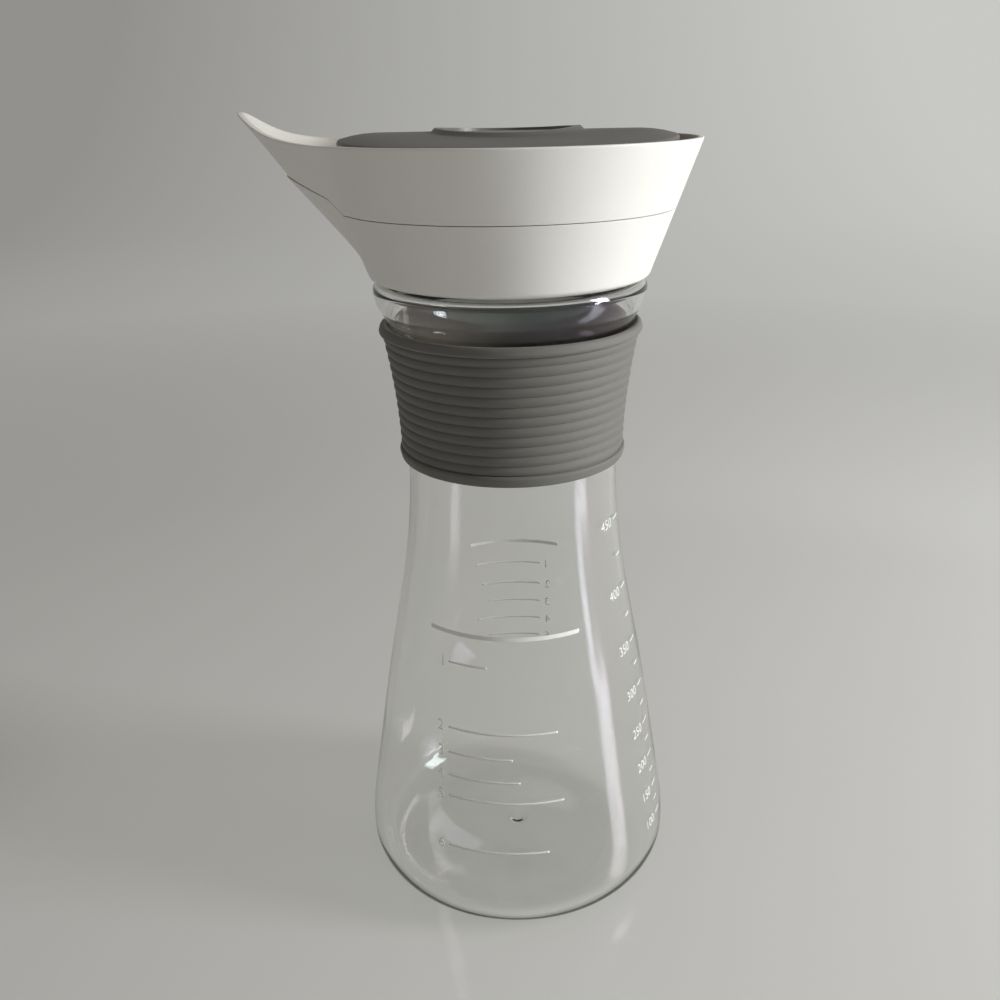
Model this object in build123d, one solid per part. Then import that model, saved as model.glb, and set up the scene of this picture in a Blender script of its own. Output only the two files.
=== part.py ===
from build123d import *
import math
import os

# Salad dressing shaker, in millimetres. The origin is on the bottle's axis, on the plane
# that the foot stands on. +Z is up, and the pouring spout points along -X.

# Clearances
FIXED_FIT = 0.05
RUNNING_FIT = 0.08
SEAL_GAP = 0.1
THREAD_CLEARANCE = 0.3
SHELL_GAP = 0.4
MARGIN = 8.0
TOLERANCE = 1e-6

# Bottle body
WIDEST_RADIUS = 44.6
HEEL_RADIUS = 11.4
FOOT_INNER_RADIUS = 30.0
PUSH_UP_HEIGHT = 5.2
BOTTLE_WALL = 1.8
FLOOR_THICKNESS = 2.2
GATE_BOSS_RADIUS = 4.6
GATE_BOSS_HEIGHT = 1.2
SIDE_STATIONS = [(42.5, 30.0), (35.8, 70.0), (29.6, 105.0), (28.1, 130.0), (29.3, 148.0)]
FLARE_HEIGHT = 167.5
FLARE_SLOPE = 0.2

# Bottle neck, from the flare up
NECK_RADIUS = 31.2
FLARE_PROUD = 1.4
BEAD_PROUD = 3.8
BEAD_RISE = 5.9
BEAD_TOP_DEPTH = 2.7
NECK_WALL = 1.8
NECK_LENGTH = 18.3
THREAD_DEPTH = 1.2
THREAD_ROOT_WIDTH = 2.2
THREAD_CREST_WIDTH = 1.0
THREAD_PITCH = 6.0
THREAD_TURNS = 1.25
THREAD_START_DROP = 10.5
THREAD_SINK = 0.4

# Grip sleeve, from just under the flare down
SLEEVE_DROP = 3.0
SLEEVE_LENGTH = 35.4
SLEEVE_THICKNESS = 1.7
SLEEVE_GROOVES = 13
SLEEVE_TOP_LIP = 2.1
SLEEVE_FOOT_BAND = 2.6
RIB_DEPTH = 0.5
SLEEVE_EDGE_ROUND = 0.5

# Lid shells, from just over the bead up
LID_FOOT_GAP = 0.2
LID_FOOT_LAND = 0.8
LID_FOOT_ROUND = 1.4
LID_FOOT_CLEARANCE = 0.15
LID_HEIGHT = 32.5
RIM_RADIUS = 47.2
PARTING_DROP = 0.5
COLLAR_WALL = 1.6
FUNNEL_WALL = 1.7
COLLAR_RING_WALL = 1.8
GASKET_THICKNESS = 1.4
DECK_THICKNESS = 2.0
SKIRT_WALL = 1.6
SKIRT_DEPTH = 6.0
SNAP_HEIGHT = 0.5
SNAP_HALF_WIDTH = 0.9

# Spout: its ridge starts over the lid's foot, steps out at a notch and ends at the tip.
# An overhang is how far the ridge stands out from the cone at that height.
RIDGE_RISE = 5.5
NOTCH_RISE = 8.6
NOTCH_OVERHANG = 9.9
RIM_OVERHANG = 12.6
SPOUT_RISE = 7.2
SPOUT_TIP_OVERHANG = 15.6
SPOUT_ANGLE_AT_FOOT = 13.0
SPOUT_ANGLE_AT_RIM = 36.0
SPOUT_SIDE_HANDLE = 0.25
SPOUT_TIP_HANDLE = 0.45
TROUGH_WALL = 1.5
LIP_CURVE_INSET = 5.8
LIP_STATIONS = [(3.2, 0.7), (13.2, 3.7)]
LIP_END_SLOPE = 0.75
STEP_INSET = 2.2
STEP_OVERHANG = 1.5
STEP_RISE = 3.8

# Pour hole and its seal
POUR_HOLE_X = -22.0
POUR_HOLE_RADIUS = 9.0
SEAL_MARGIN = 1.4
SEAL_LIP_WIDTH = 2.0
SEAL_CUP_HEIGHT = 3.0
SEAL_ROOF = 1.5
SEAL_EDGE_ROUND = 0.6
SEAL_NECK_RADIUS = 2.6
SEAL_KNOB_RADIUS = 3.8
SEAL_KNOB_HEIGHT = 0.9
SEAL_POST_RADIUS = 5.0

# Rocking flap, from the rim. Its top slopes down on both sides of a soft ridge that lies
# in line with the spout.
FLAP_RIM_GAP = 5.3
FLAP_PROUD = 2.3
FLAP_FALL = 2.6
FLAP_RIDGE_HALF_WIDTH = 10.0
FLAP_EDGE_ROUND = 0.8
FLAP_SIDE_DEPTH = 4.7
FLAP_SIDE_DRAFT = 1.5
FLAP_PLATE = 2.0
FLAP_SIDE_WALL = 1.4
FLAP_SNAP = 0.4
CARRIER_PLATE = 1.2
CARRIER_RIB_INSET = 3.3
CARRIER_RIB_WALL = 1.2
CARRIER_RIB_DEPTH = 1.4
BADGE_RADIUS = 17.6
BADGE_PROUD = 0.3
BADGE_THICKNESS = 1.3
BADGE_EDGE_ROUND = 0.25

# Hinge, under the carrier
PIVOT_X = 12.0
PIN_RADIUS = 1.2
PIN_HEAD_RADIUS = 2.0
PIN_HEAD_THICKNESS = 1.0
PIN_END_ALLOWANCE = 0.4
EYE_RADIUS = 2.6
EYE_CLEARANCE = 0.25
LUG_INSET = 19.4
LUG_THICKNESS = 2.4
LUG_BASE_LENGTH = 9.0
EAR_GAP = 0.4
EAR_THICKNESS = 2.4

# Heights and radii that follow from the values above
FLARE_RADIUS = NECK_RADIUS + FLARE_PROUD
BEAD_RADIUS = NECK_RADIUS + BEAD_PROUD
BEAD_HEIGHT = FLARE_HEIGHT + BEAD_RISE
BEAD_TOP = BEAD_HEIGHT + BEAD_TOP_DEPTH
NECK_TOP = BEAD_HEIGHT + NECK_LENGTH
THREAD_START = NECK_TOP - THREAD_START_DROP
THREAD_CREST_RADIUS = NECK_RADIUS + THREAD_DEPTH
SLEEVE_TOP = FLARE_HEIGHT - SLEEVE_DROP
SLEEVE_FOOT = SLEEVE_TOP - SLEEVE_LENGTH
COLLAR_BORE_RADIUS = THREAD_CREST_RADIUS + THREAD_CLEARANCE
COLLAR_RING_RADIUS = COLLAR_BORE_RADIUS + COLLAR_RING_WALL
GASKET_FOOT = NECK_TOP + SEAL_GAP
DECK_FOOT = GASKET_FOOT + GASKET_THICKNESS + SEAL_GAP
DECK_TOP = DECK_FOOT + DECK_THICKNESS
SKIRT_FOOT = DECK_FOOT - SKIRT_DEPTH
SNAP_CENTRE = DECK_FOOT - SKIRT_DEPTH / 2
LID_FOOT = BEAD_TOP + LID_FOOT_GAP
LID_FOOT_RADIUS = COLLAR_RING_RADIUS + LID_FOOT_LAND
RIM_HEIGHT = LID_FOOT + LID_HEIGHT
CONE_SLOPE = (RIM_RADIUS - LID_FOOT_RADIUS) / LID_HEIGHT
RIDGE_START = LID_FOOT + RIDGE_RISE
PARTING_HEIGHT = DECK_FOOT - PARTING_DROP
NOTCH_HEIGHT = PARTING_HEIGHT + NOTCH_RISE
SPOUT_TOP = RIM_HEIGHT + SPOUT_RISE
LID_REACH = RIM_RADIUS + SPOUT_TIP_OVERHANG + MARGIN
SEAL_FOOT = DECK_TOP + SEAL_GAP
SEAL_ROOF_FOOT = SEAL_FOOT + SEAL_CUP_HEIGHT
SEAL_TOP = SEAL_ROOF_FOOT + SEAL_ROOF
SEAL_INNER_RADIUS = POUR_HOLE_RADIUS + SEAL_MARGIN
SEAL_OUTER_RADIUS = SEAL_INNER_RADIUS + SEAL_LIP_WIDTH
FLAP_RADIUS = RIM_RADIUS - FLAP_RIM_GAP
FLAP_RIDGE_TOP = RIM_HEIGHT + FLAP_PROUD
FLAP_EDGE_TOP = FLAP_RIDGE_TOP - FLAP_FALL
FLAP_FOOT = FLAP_EDGE_TOP - FLAP_SIDE_DEPTH
PLATE_FOOT = FLAP_EDGE_TOP - FLAP_PLATE
CARRIER_TOP = PLATE_FOOT - FIXED_FIT
CARRIER_FOOT = CARRIER_TOP - CARRIER_PLATE
BADGE_TOP = FLAP_RIDGE_TOP + BADGE_PROUD
PIVOT_HEIGHT = CARRIER_FOOT - EYE_CLEARANCE - EYE_RADIUS
LUG_INNER_Y = FLAP_RADIUS - LUG_INSET
LUG_OUTER_Y = LUG_INNER_Y + LUG_THICKNESS
EAR_INNER_Y = LUG_OUTER_Y + EAR_GAP
EAR_OUTER_Y = EAR_INNER_Y + EAR_THICKNESS


def point(radius, height):
    """A point of a half section, drawn in the XZ plane."""
    return Vector(radius, 0, height)


def line(start, end):
    return Line(point(*start), point(*end))


def arc(start, middle, end):
    return ThreePointArc(point(*start), point(*middle), point(*end))


def turned(edges):
    """The solid of revolution of a closed half section about the Z axis."""
    return revolve(make_face(edges), Axis.Z)


def polygon(corners):
    """The closed outline through these corners of a half section."""
    return Polyline(*[point(*corner) for corner in corners], close=True).edges()


def turned_polygon(corners):
    return turned(polygon(corners))


def ring(inner_radius, outer_radius, foot, top):
    corners = [(inner_radius, foot), (outer_radius, foot), (outer_radius, top), (inner_radius, top)]
    return turned_polygon(corners)


def disc(radius, foot, top):
    return Pos(0, 0, (foot + top) / 2) * Cylinder(radius, top - foot)


def plate_along_y(outline, inner_y, outer_y):
    """An outline in the XZ plane, made solid from one Y to the other."""
    return Pos(0, inner_y, 0) * extrude(make_face(outline), outer_y - inner_y, dir=(0, 1, 0))


def side_curve(inset, heel_height=HEEL_RADIUS):
    """The bottle's side from the heel to the flare, moved in by the inset."""
    stations = [(WIDEST_RADIUS, heel_height)] + SIDE_STATIONS + [(FLARE_RADIUS, FLARE_HEIGHT)]
    points = [point(radius - inset, height) for radius, height in stations]
    return Spline(*points, tangents=[(0, 0, 1), (FLARE_SLOPE, 0, 1)])


def radius_at(curve, height):
    """The radius of a curve, which only rises, at a height."""
    low = 0.0
    high = 1.0
    while high - low > TOLERANCE:
        middle = (low + high) / 2
        if (curve @ middle).Z < height:
            low = middle
        else:
            high = middle
    return (curve @ low).X


def dome(rim, crown_height):
    """An arc from a rim point in to the axis, level at the axis."""
    radius, height = rim
    rise = crown_height - height
    sphere = (radius**2 + rise**2) / (2 * rise)
    half = radius / 2
    half_height = crown_height - sphere + math.copysign(math.sqrt(sphere**2 - half**2), sphere)
    return arc((0, crown_height), (half, half_height), rim)


def bulge(crest, end):
    """An arc from a crest, where it runs upright, to an end nearer the axis."""
    crest_radius, crest_height = crest
    inward = crest_radius - end[0]
    along = end[1] - crest_height
    bend = (inward**2 + along**2) / (2 * inward)
    half_turn = math.atan2(along, bend - inward) / 2
    middle_radius = crest_radius - bend * (1 - math.cos(half_turn))
    return arc(crest, (middle_radius, crest_height + bend * math.sin(half_turn)), end)


def thread(root_radius, crest_radius, start):
    """One helical ridge from a start height, whose flanks run on a little way into its wall."""
    inward = math.copysign(1, root_radius - crest_radius)
    sunk_radius = root_radius + inward * THREAD_SINK
    flank_slope = (THREAD_ROOT_WIDTH - THREAD_CREST_WIDTH) / 2 / THREAD_DEPTH
    half_sunk = THREAD_ROOT_WIDTH / 2 + flank_slope * THREAD_SINK
    half_crest = THREAD_CREST_WIDTH / 2
    corners = [
        (sunk_radius, start - half_sunk),
        (crest_radius, start - half_crest),
        (crest_radius, start + half_crest),
        (sunk_radius, start + half_sunk),
    ]
    section = make_face(polygon(corners))
    path = Helix(THREAD_PITCH, THREAD_PITCH * THREAD_TURNS, root_radius, center=(0, 0, start))
    return sweep(section, path, is_frenet=True)


def bottle():
    """Clear blown bottle: domed foot, hourglass side, carrying bead and threaded neck."""
    bore = NECK_RADIUS - NECK_WALL
    heel_centre = WIDEST_RADIUS - HEEL_RADIUS
    heel_turn = HEEL_RADIUS * math.sin(math.radians(45))
    shoulder_radius = COLLAR_BORE_RADIUS + THREAD_CLEARANCE
    crest = (BEAD_RADIUS, BEAD_HEIGHT)
    outer = turned([
        dome((FOOT_INNER_RADIUS, 0), PUSH_UP_HEIGHT),
        line((FOOT_INNER_RADIUS, 0), (heel_centre, 0)),
        arc(
            (heel_centre, 0),
            (heel_centre + heel_turn, HEEL_RADIUS - heel_turn),
            (WIDEST_RADIUS, HEEL_RADIUS),
        ),
        side_curve(0),
        bulge(crest, (FLARE_RADIUS, FLARE_HEIGHT)),
        bulge(crest, (shoulder_radius, BEAD_TOP)),
        line((shoulder_radius, BEAD_TOP), (NECK_RADIUS, BEAD_TOP)),
        line((NECK_RADIUS, BEAD_TOP), (NECK_RADIUS, NECK_TOP)),
        line((NECK_RADIUS, NECK_TOP), (0, NECK_TOP)),
        line((0, NECK_TOP), (0, PUSH_UP_HEIGHT)),
    ])
    inner_heel = HEEL_RADIUS - BOTTLE_WALL
    inner_heel_height = FLOOR_THICKNESS + inner_heel
    inner_turn = inner_heel * math.sin(math.radians(45))
    inner_crown = PUSH_UP_HEIGHT + FLOOR_THICKNESS
    inner_crest = (BEAD_RADIUS - BOTTLE_WALL, BEAD_HEIGHT)
    hollow = turned([
        dome((FOOT_INNER_RADIUS, FLOOR_THICKNESS), inner_crown),
        line((FOOT_INNER_RADIUS, FLOOR_THICKNESS), (heel_centre, FLOOR_THICKNESS)),
        arc(
            (heel_centre, FLOOR_THICKNESS),
            (heel_centre + inner_turn, inner_heel_height - inner_turn),
            (WIDEST_RADIUS - BOTTLE_WALL, inner_heel_height),
        ),
        side_curve(BOTTLE_WALL, inner_heel_height),
        bulge(inner_crest, (FLARE_RADIUS - BOTTLE_WALL, FLARE_HEIGHT)),
        line(inner_crest, (bore, BEAD_TOP)),
        line((bore, BEAD_TOP), (bore, NECK_TOP)),
        line((bore, NECK_TOP), (0, NECK_TOP)),
        line((0, NECK_TOP), (0, inner_crown)),
    ])
    boss_foot = inner_crown - FLOOR_THICKNESS / 2
    boss_crown = inner_crown + GATE_BOSS_HEIGHT
    gate_boss = turned([
        dome((GATE_BOSS_RADIUS, boss_foot), boss_crown),
        line((GATE_BOSS_RADIUS, boss_foot), (0, boss_foot)),
        line((0, boss_foot), (0, boss_crown)),
    ])
    return outer - hollow + gate_boss + thread(NECK_RADIUS, THREAD_CREST_RADIUS, THREAD_START)


def grip_sleeve():
    """Soft sleeve around the waist, with a round rib between each two grooves."""
    side = side_curve(0)
    first_groove = SLEEVE_FOOT + SLEEVE_FOOT_BAND
    pitch = (SLEEVE_TOP - SLEEVE_TOP_LIP - first_groove) / (SLEEVE_GROOVES - 1)

    def crest(height):
        return (radius_at(side, height) + SLEEVE_THICKNESS, height)

    def groove(height):
        return (crest(height)[0] - RIB_DEPTH, height)

    def lip(end_height, groove_height):
        """A rounded lip, as its end corner, the middle of its round and its groove."""
        inward = math.copysign(SLEEVE_EDGE_ROUND, groove_height - end_height)
        corner = (crest(end_height)[0] - SLEEVE_EDGE_ROUND, end_height)
        return corner, crest(end_height + inward), groove(groove_height)

    groove_heights = [first_groove + index * pitch for index in range(SLEEVE_GROOVES)]
    foot_corner, foot_crest, foot_groove = lip(SLEEVE_FOOT, groove_heights[0])
    top_corner, top_crest, top_groove = lip(SLEEVE_TOP, groove_heights[-1])
    core_radius = NECK_RADIUS / 2
    ribs = [
        arc(groove(low), crest((low + high) / 2), groove(high))
        for low, high in zip(groove_heights, groove_heights[1:])
    ]
    envelope = turned([
        line((core_radius, SLEEVE_FOOT), foot_corner),
        line(foot_corner, foot_crest),
        line(foot_crest, foot_groove),
        *ribs,
        line(top_groove, top_crest),
        line(top_crest, top_corner),
        line(top_corner, (core_radius, SLEEVE_TOP)),
        line((core_radius, SLEEVE_TOP), (core_radius, SLEEVE_FOOT)),
    ])
    bottle_side = side_curve(-FIXED_FIT)
    return envelope - turned([
        bottle_side,
        line((FLARE_RADIUS + FIXED_FIT, FLARE_HEIGHT), (0, FLARE_HEIGHT)),
        line((0, FLARE_HEIGHT), (0, HEEL_RADIUS)),
        line((0, HEEL_RADIUS), (WIDEST_RADIUS + FIXED_FIT, HEEL_RADIUS)),
    ])


def neck_gasket():
    """Flat ring that the lid presses on the mouth of the bottle."""
    return ring(
        NECK_RADIUS - NECK_WALL,
        THREAD_CREST_RADIUS - SEAL_GAP,
        GASKET_FOOT,
        GASKET_FOOT + GASKET_THICKNESS,
    )


def cone_radius(height):
    return LID_FOOT_RADIUS + CONE_SLOPE * (height - LID_FOOT)


def between(value, low, high, low_result, high_result):
    """Straight-line interpolation, which runs on past both ends."""
    return low_result + (high_result - low_result) * (value - low) / (high - low)


def spout_overhang(height):
    """How far the spout's ridge stands out from the cone at a height."""
    if height <= RIDGE_START:
        return 0.0
    if height <= NOTCH_HEIGHT:
        return between(height, RIDGE_START, NOTCH_HEIGHT, 0.0, NOTCH_OVERHANG)
    if height <= RIM_HEIGHT:
        return between(height, NOTCH_HEIGHT, RIM_HEIGHT, NOTCH_OVERHANG, RIM_OVERHANG)
    return between(height, RIM_HEIGHT, SPOUT_TOP, RIM_OVERHANG, SPOUT_TIP_OVERHANG)


def lid_section(height, inset, spout_inset):
    """The lid's level outline: a circle that runs smoothly out into the spout's nose."""
    radius = cone_radius(height) - inset
    reach = cone_radius(height) + spout_overhang(height) - spout_inset
    angle = math.radians(
        between(height, LID_FOOT, RIM_HEIGHT, SPOUT_ANGLE_AT_FOOT, SPOUT_ANGLE_AT_RIM)
    )
    corner_x = -radius * math.cos(angle)
    corner_y = radius * math.sin(angle)
    handle = SPOUT_SIDE_HANDLE * corner_y
    handle_x = corner_x - handle * math.sin(angle)
    handle_y = corner_y - handle * math.cos(angle)
    tip_y = SPOUT_TIP_HANDLE * corner_y
    left = Bezier(
        (corner_x, corner_y, height),
        (handle_x, handle_y, height),
        (-reach, tip_y, height),
        (-reach, 0, height),
    )
    right = Bezier(
        (-reach, 0, height),
        (-reach, -tip_y, height),
        (handle_x, -handle_y, height),
        (corner_x, -corner_y, height),
    )
    back = ThreePointArc(
        (corner_x, -corner_y, height),
        (radius, 0, height),
        (corner_x, corner_y, height),
    )
    return make_face([left, right, back])


def lid_solid(heights, inset, spout_insets):
    """The solid through the lid's level outlines at these heights."""
    sections = [
        lid_section(height, inset, spout_inset)
        for height, spout_inset in zip(heights, spout_insets)
    ]
    return loft(sections)


def parting_outline(offset, direction):
    """The region above or below the line that parts the two shells, in the XZ plane."""
    end = SPOUT_TOP + MARGIN if direction > 0 else LID_FOOT - MARGIN
    step_start = cone_radius(PARTING_HEIGHT) - STEP_INSET
    step_end = cone_radius(PARTING_HEIGHT) + STEP_OVERHANG
    step_top = PARTING_HEIGHT + STEP_RISE
    notch_x = cone_radius(NOTCH_HEIGHT) + NOTCH_OVERHANG
    far_height = between(LID_REACH, step_end, notch_x, step_top, NOTCH_HEIGHT)
    corners = [
        (LID_REACH, end),
        (LID_REACH, PARTING_HEIGHT + offset),
        (-step_start, PARTING_HEIGHT + offset),
        (-step_end, step_top + offset),
        (-LID_REACH, far_height + offset),
        (-LID_REACH, end),
    ]
    return polygon(corners)


def region_of_lid(outline):
    half_width = RIM_RADIUS + MARGIN
    return plate_along_y(outline, -half_width, half_width)


def above_rim():
    """The region over the rim, which rises along the spout to its tip."""
    end = SPOUT_TOP + MARGIN
    tip_reach = cone_radius(SPOUT_TOP) + SPOUT_TIP_OVERHANG
    start_reach = RIM_RADIUS - LIP_CURVE_INSET
    stations = [(RIM_RADIUS + reach, RIM_HEIGHT + rise) for reach, rise in LIP_STATIONS]
    stations = [(start_reach, RIM_HEIGHT), *stations, (tip_reach, SPOUT_TOP)]
    lip_points = [point(-reach, height) for reach, height in stations]
    lip_curve = Spline(*lip_points, tangents=[(-1, 0, 0), (-1, 0, LIP_END_SLOPE)])
    corners = [
        (-tip_reach, SPOUT_TOP),
        (-tip_reach, end),
        (LID_REACH, end),
        (LID_REACH, RIM_HEIGHT),
        (-start_reach, RIM_HEIGHT),
    ]
    sides = [line(start, stop) for start, stop in zip(corners, corners[1:])]
    return region_of_lid([lip_curve, *sides])


def outer_lid():
    heights = [LID_FOOT, RIDGE_START, PARTING_HEIGHT, NOTCH_HEIGHT, RIM_HEIGHT, SPOUT_TOP]
    return lid_solid(heights, 0, [0] * len(heights))


def inner_lid(inset):
    """The space inside the collar's wall, which the funnel's trough fills."""
    heights = [LID_FOOT, RIDGE_START, PARTING_HEIGHT, NOTCH_HEIGHT, RIM_HEIGHT]
    return lid_solid(heights, inset, [inset] * len(heights))


def snap_ridge(radius, height, depth):
    """A low ring whose round face stands out from a cylinder."""
    low = height - SNAP_HALF_WIDTH
    high = height + SNAP_HALF_WIDTH
    return turned([
        arc((radius, low), (radius + depth, height), (radius, high)),
        line((radius, high), (radius - depth, high)),
        line((radius - depth, high), (radius - depth, low)),
        line((radius - depth, low), (radius, low)),
    ])


def around_foot_round():
    """The space outside the round on the lid's lower edge, which ends clear of the cone."""
    start = (LID_FOOT_RADIUS - LID_FOOT_ROUND, LID_FOOT)
    end_height = LID_FOOT + LID_FOOT_ROUND
    end = (cone_radius(end_height) + LID_FOOT_CLEARANCE, end_height)
    outside = LID_FOOT_RADIUS + MARGIN
    below = LID_FOOT - MARGIN
    return turned([
        bulge(end, start),
        line(start, (start[0], below)),
        line((start[0], below), (outside, below)),
        line((outside, below), (outside, end_height)),
        line((outside, end_height), end),
    ])


def screw_collar():
    """Lower shell of the lid: threaded ring, outer cone and the root of the spout."""
    shell = outer_lid() & region_of_lid(parting_outline(-SHELL_GAP / 2, -1))
    core = disc(COLLAR_RING_RADIUS, LID_FOOT, DECK_FOOT - FIXED_FIT)
    shell -= inner_lid(COLLAR_WALL)
    collar = shell + core + snap_ridge(COLLAR_RING_RADIUS, SNAP_CENTRE, SNAP_HEIGHT)
    collar -= disc(COLLAR_BORE_RADIUS, LID_FOOT - MARGIN, DECK_FOOT + MARGIN)
    collar -= around_foot_round()
    flank_widths = (THREAD_ROOT_WIDTH + THREAD_CREST_WIDTH) / 2
    start = THREAD_START - flank_widths - THREAD_CLEARANCE
    return collar + thread(COLLAR_BORE_RADIUS, NECK_RADIUS + THREAD_CLEARANCE, start)


def hinge_lug():
    """One lug on the deck, tapering up to the eye that holds the pin."""
    half_base = LUG_BASE_LENGTH / 2
    corners = [
        (PIVOT_X - half_base, DECK_TOP - DECK_THICKNESS / 2),
        (PIVOT_X + half_base, DECK_TOP - DECK_THICKNESS / 2),
        (PIVOT_X + EYE_RADIUS, PIVOT_HEIGHT),
        (PIVOT_X - EYE_RADIUS, PIVOT_HEIGHT),
    ]
    plate = plate_along_y(polygon(corners), LUG_INNER_Y, LUG_OUTER_Y)
    return plate + bar_along_y(EYE_RADIUS, LUG_INNER_Y, LUG_OUTER_Y)


def bar_along_y(radius, inner_y, outer_y):
    """A round bar on the hinge axis."""
    middle_y = (inner_y + outer_y) / 2
    return Pos(PIVOT_X, middle_y, PIVOT_HEIGHT) * Rot(90, 0, 0) * Cylinder(radius, outer_y - inner_y)


def both_sides(solid):
    return solid + mirror(solid, about=Plane.XZ)


def pour_funnel():
    """Upper shell of the lid: deck with its pour hole, funnel wall, spout and hinge lugs."""
    outer = outer_lid() & region_of_lid(parting_outline(SHELL_GAP / 2, 1))
    outer -= inner_lid(FUNNEL_WALL) & disc(LID_REACH, LID_FOOT, DECK_FOOT)
    trough = inner_lid(COLLAR_WALL + FIXED_FIT) & disc(LID_REACH, DECK_FOOT, SPOUT_TOP + MARGIN)
    spout_inset_at_deck = COLLAR_WALL + FIXED_FIT + TROUGH_WALL
    hollow = lid_solid(
        [DECK_TOP, NOTCH_HEIGHT, RIM_HEIGHT, SPOUT_TOP],
        FUNNEL_WALL,
        [spout_inset_at_deck, spout_inset_at_deck, FUNNEL_WALL, FUNNEL_WALL],
    )
    skirt_radius = COLLAR_RING_RADIUS + FIXED_FIT
    skirt = ring(skirt_radius, skirt_radius + SKIRT_WALL, SKIRT_FOOT, DECK_FOOT + DECK_THICKNESS / 2)
    skirt -= snap_ridge(skirt_radius, SNAP_CENTRE, SNAP_HEIGHT)
    pour_hole = Pos(POUR_HOLE_X, 0, 0) * disc(POUR_HOLE_RADIUS, DECK_FOOT - MARGIN, DECK_TOP + MARGIN)
    pin_hole = bar_along_y(PIN_RADIUS + FIXED_FIT, LUG_INNER_Y - MARGIN, LUG_OUTER_Y + MARGIN)
    funnel = outer + trough - hollow - above_rim() + skirt - pour_hole
    return funnel + both_sides(hinge_lug()) - both_sides(pin_hole)


def hinge_pin():
    """Headed pin, pressed in a lug, on which an ear of the flap turns."""
    head_y = LUG_INNER_Y - FIXED_FIT - PIN_HEAD_THICKNESS
    shaft = bar_along_y(PIN_RADIUS, head_y, EAR_OUTER_Y + PIN_END_ALLOWANCE)
    return shaft + bar_along_y(PIN_HEAD_RADIUS, head_y, head_y + PIN_HEAD_THICKNESS)


def pour_seal():
    """Soft cup that covers the pour hole, with a small hole in its roof for the post's knob."""
    return Pos(POUR_HOLE_X, 0, 0) * turned_polygon([
        (SEAL_INNER_RADIUS, SEAL_FOOT),
        (SEAL_OUTER_RADIUS, SEAL_FOOT),
        (SEAL_OUTER_RADIUS, SEAL_TOP - SEAL_EDGE_ROUND),
        (SEAL_OUTER_RADIUS - SEAL_EDGE_ROUND, SEAL_TOP),
        (SEAL_NECK_RADIUS, SEAL_TOP),
        (SEAL_NECK_RADIUS, SEAL_ROOF_FOOT),
        (SEAL_INNER_RADIUS, SEAL_ROOF_FOOT),
    ])


def flap_radius_at(height):
    """The radius of the flap's drafted side."""
    return between(height, FLAP_RIDGE_TOP, FLAP_FOOT, FLAP_RADIUS, FLAP_RADIUS - FLAP_SIDE_DRAFT)


def carrier_radius():
    return flap_radius_at(CARRIER_FOOT) - FLAP_SIDE_WALL - FIXED_FIT


def under_slopes(ridge_top):
    """The region under the flap's two slopes, when the ridge between them is at this height."""
    slope = FLAP_FALL / (FLAP_RADIUS - FLAP_RIDGE_HALF_WIDTH / 2)
    reach = FLAP_RADIUS + MARGIN
    foot = FLAP_FOOT - MARGIN
    ridge_side = ridge_top - slope * FLAP_RIDGE_HALF_WIDTH / 2
    slope_end = ridge_side - slope * (reach - FLAP_RIDGE_HALF_WIDTH)

    def across(y, height):
        return Vector(-reach, y, height)

    left = across(-FLAP_RIDGE_HALF_WIDTH, ridge_side)
    right = across(FLAP_RIDGE_HALF_WIDTH, ridge_side)
    ridge = ThreePointArc(left, across(0, ridge_top), right)
    sides = Polyline(
        right,
        across(reach, slope_end),
        across(reach, foot),
        across(-reach, foot),
        across(-reach, slope_end),
        left,
    )
    return extrude(make_face([ridge, *sides.edges()]), 2 * reach, dir=(1, 0, 0))


def rounded_top(solid, radius, foot, edge_round):
    """The solid with a round on the edge between its sloping top and its side."""
    def is_outer(place):
        return math.hypot(place.X, place.Y) > radius - edge_round and place.Z > foot + TOLERANCE

    top_edges = [edge for edge in solid.edges() if all(is_outer(edge @ part) for part in (0, 0.5, 1))]
    return fillet(top_edges, edge_round)


def flap_cover():
    """Round shell with two gentle slopes on top, a drafted side and a badge recess."""
    wall_inner = carrier_radius() + FIXED_FIT
    foot_radius = flap_radius_at(FLAP_FOOT)
    cone = turned_polygon([
        (0, FLAP_FOOT),
        (foot_radius, FLAP_FOOT),
        (FLAP_RADIUS, FLAP_RIDGE_TOP),
        (0, FLAP_RIDGE_TOP),
    ])
    body = rounded_top(cone & under_slopes(FLAP_RIDGE_TOP), foot_radius, FLAP_FOOT, FLAP_EDGE_ROUND)
    inside = disc(wall_inner, FLAP_FOOT - MARGIN, FLAP_RIDGE_TOP)
    snap = turned_polygon([
        (wall_inner, FLAP_FOOT),
        (wall_inner - FLAP_SNAP, CARRIER_FOOT - FIXED_FIT),
        (wall_inner + FLAP_SNAP, CARRIER_FOOT - FIXED_FIT),
        (wall_inner + FLAP_SNAP, FLAP_FOOT),
    ])
    recess = disc(BADGE_RADIUS + FIXED_FIT, PLATE_FOOT, BADGE_TOP)
    recess -= under_slopes(BADGE_TOP - BADGE_THICKNESS - FIXED_FIT)
    return body - (inside & under_slopes(FLAP_RIDGE_TOP - FLAP_PLATE)) + snap - recess


def hinge_ear():
    """One ear under the carrier, outside its lug, with the eye that turns on the pin."""
    corners = [
        (PIVOT_X - EYE_RADIUS, PIVOT_HEIGHT),
        (PIVOT_X + EYE_RADIUS, PIVOT_HEIGHT),
        (PIVOT_X + EYE_RADIUS, CARRIER_FOOT + CARRIER_PLATE / 2),
        (PIVOT_X - EYE_RADIUS, CARRIER_FOOT + CARRIER_PLATE / 2),
    ]
    plate = plate_along_y(polygon(corners), EAR_INNER_Y, EAR_OUTER_Y)
    return plate + bar_along_y(EYE_RADIUS, EAR_INNER_Y, EAR_OUTER_Y)


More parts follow.
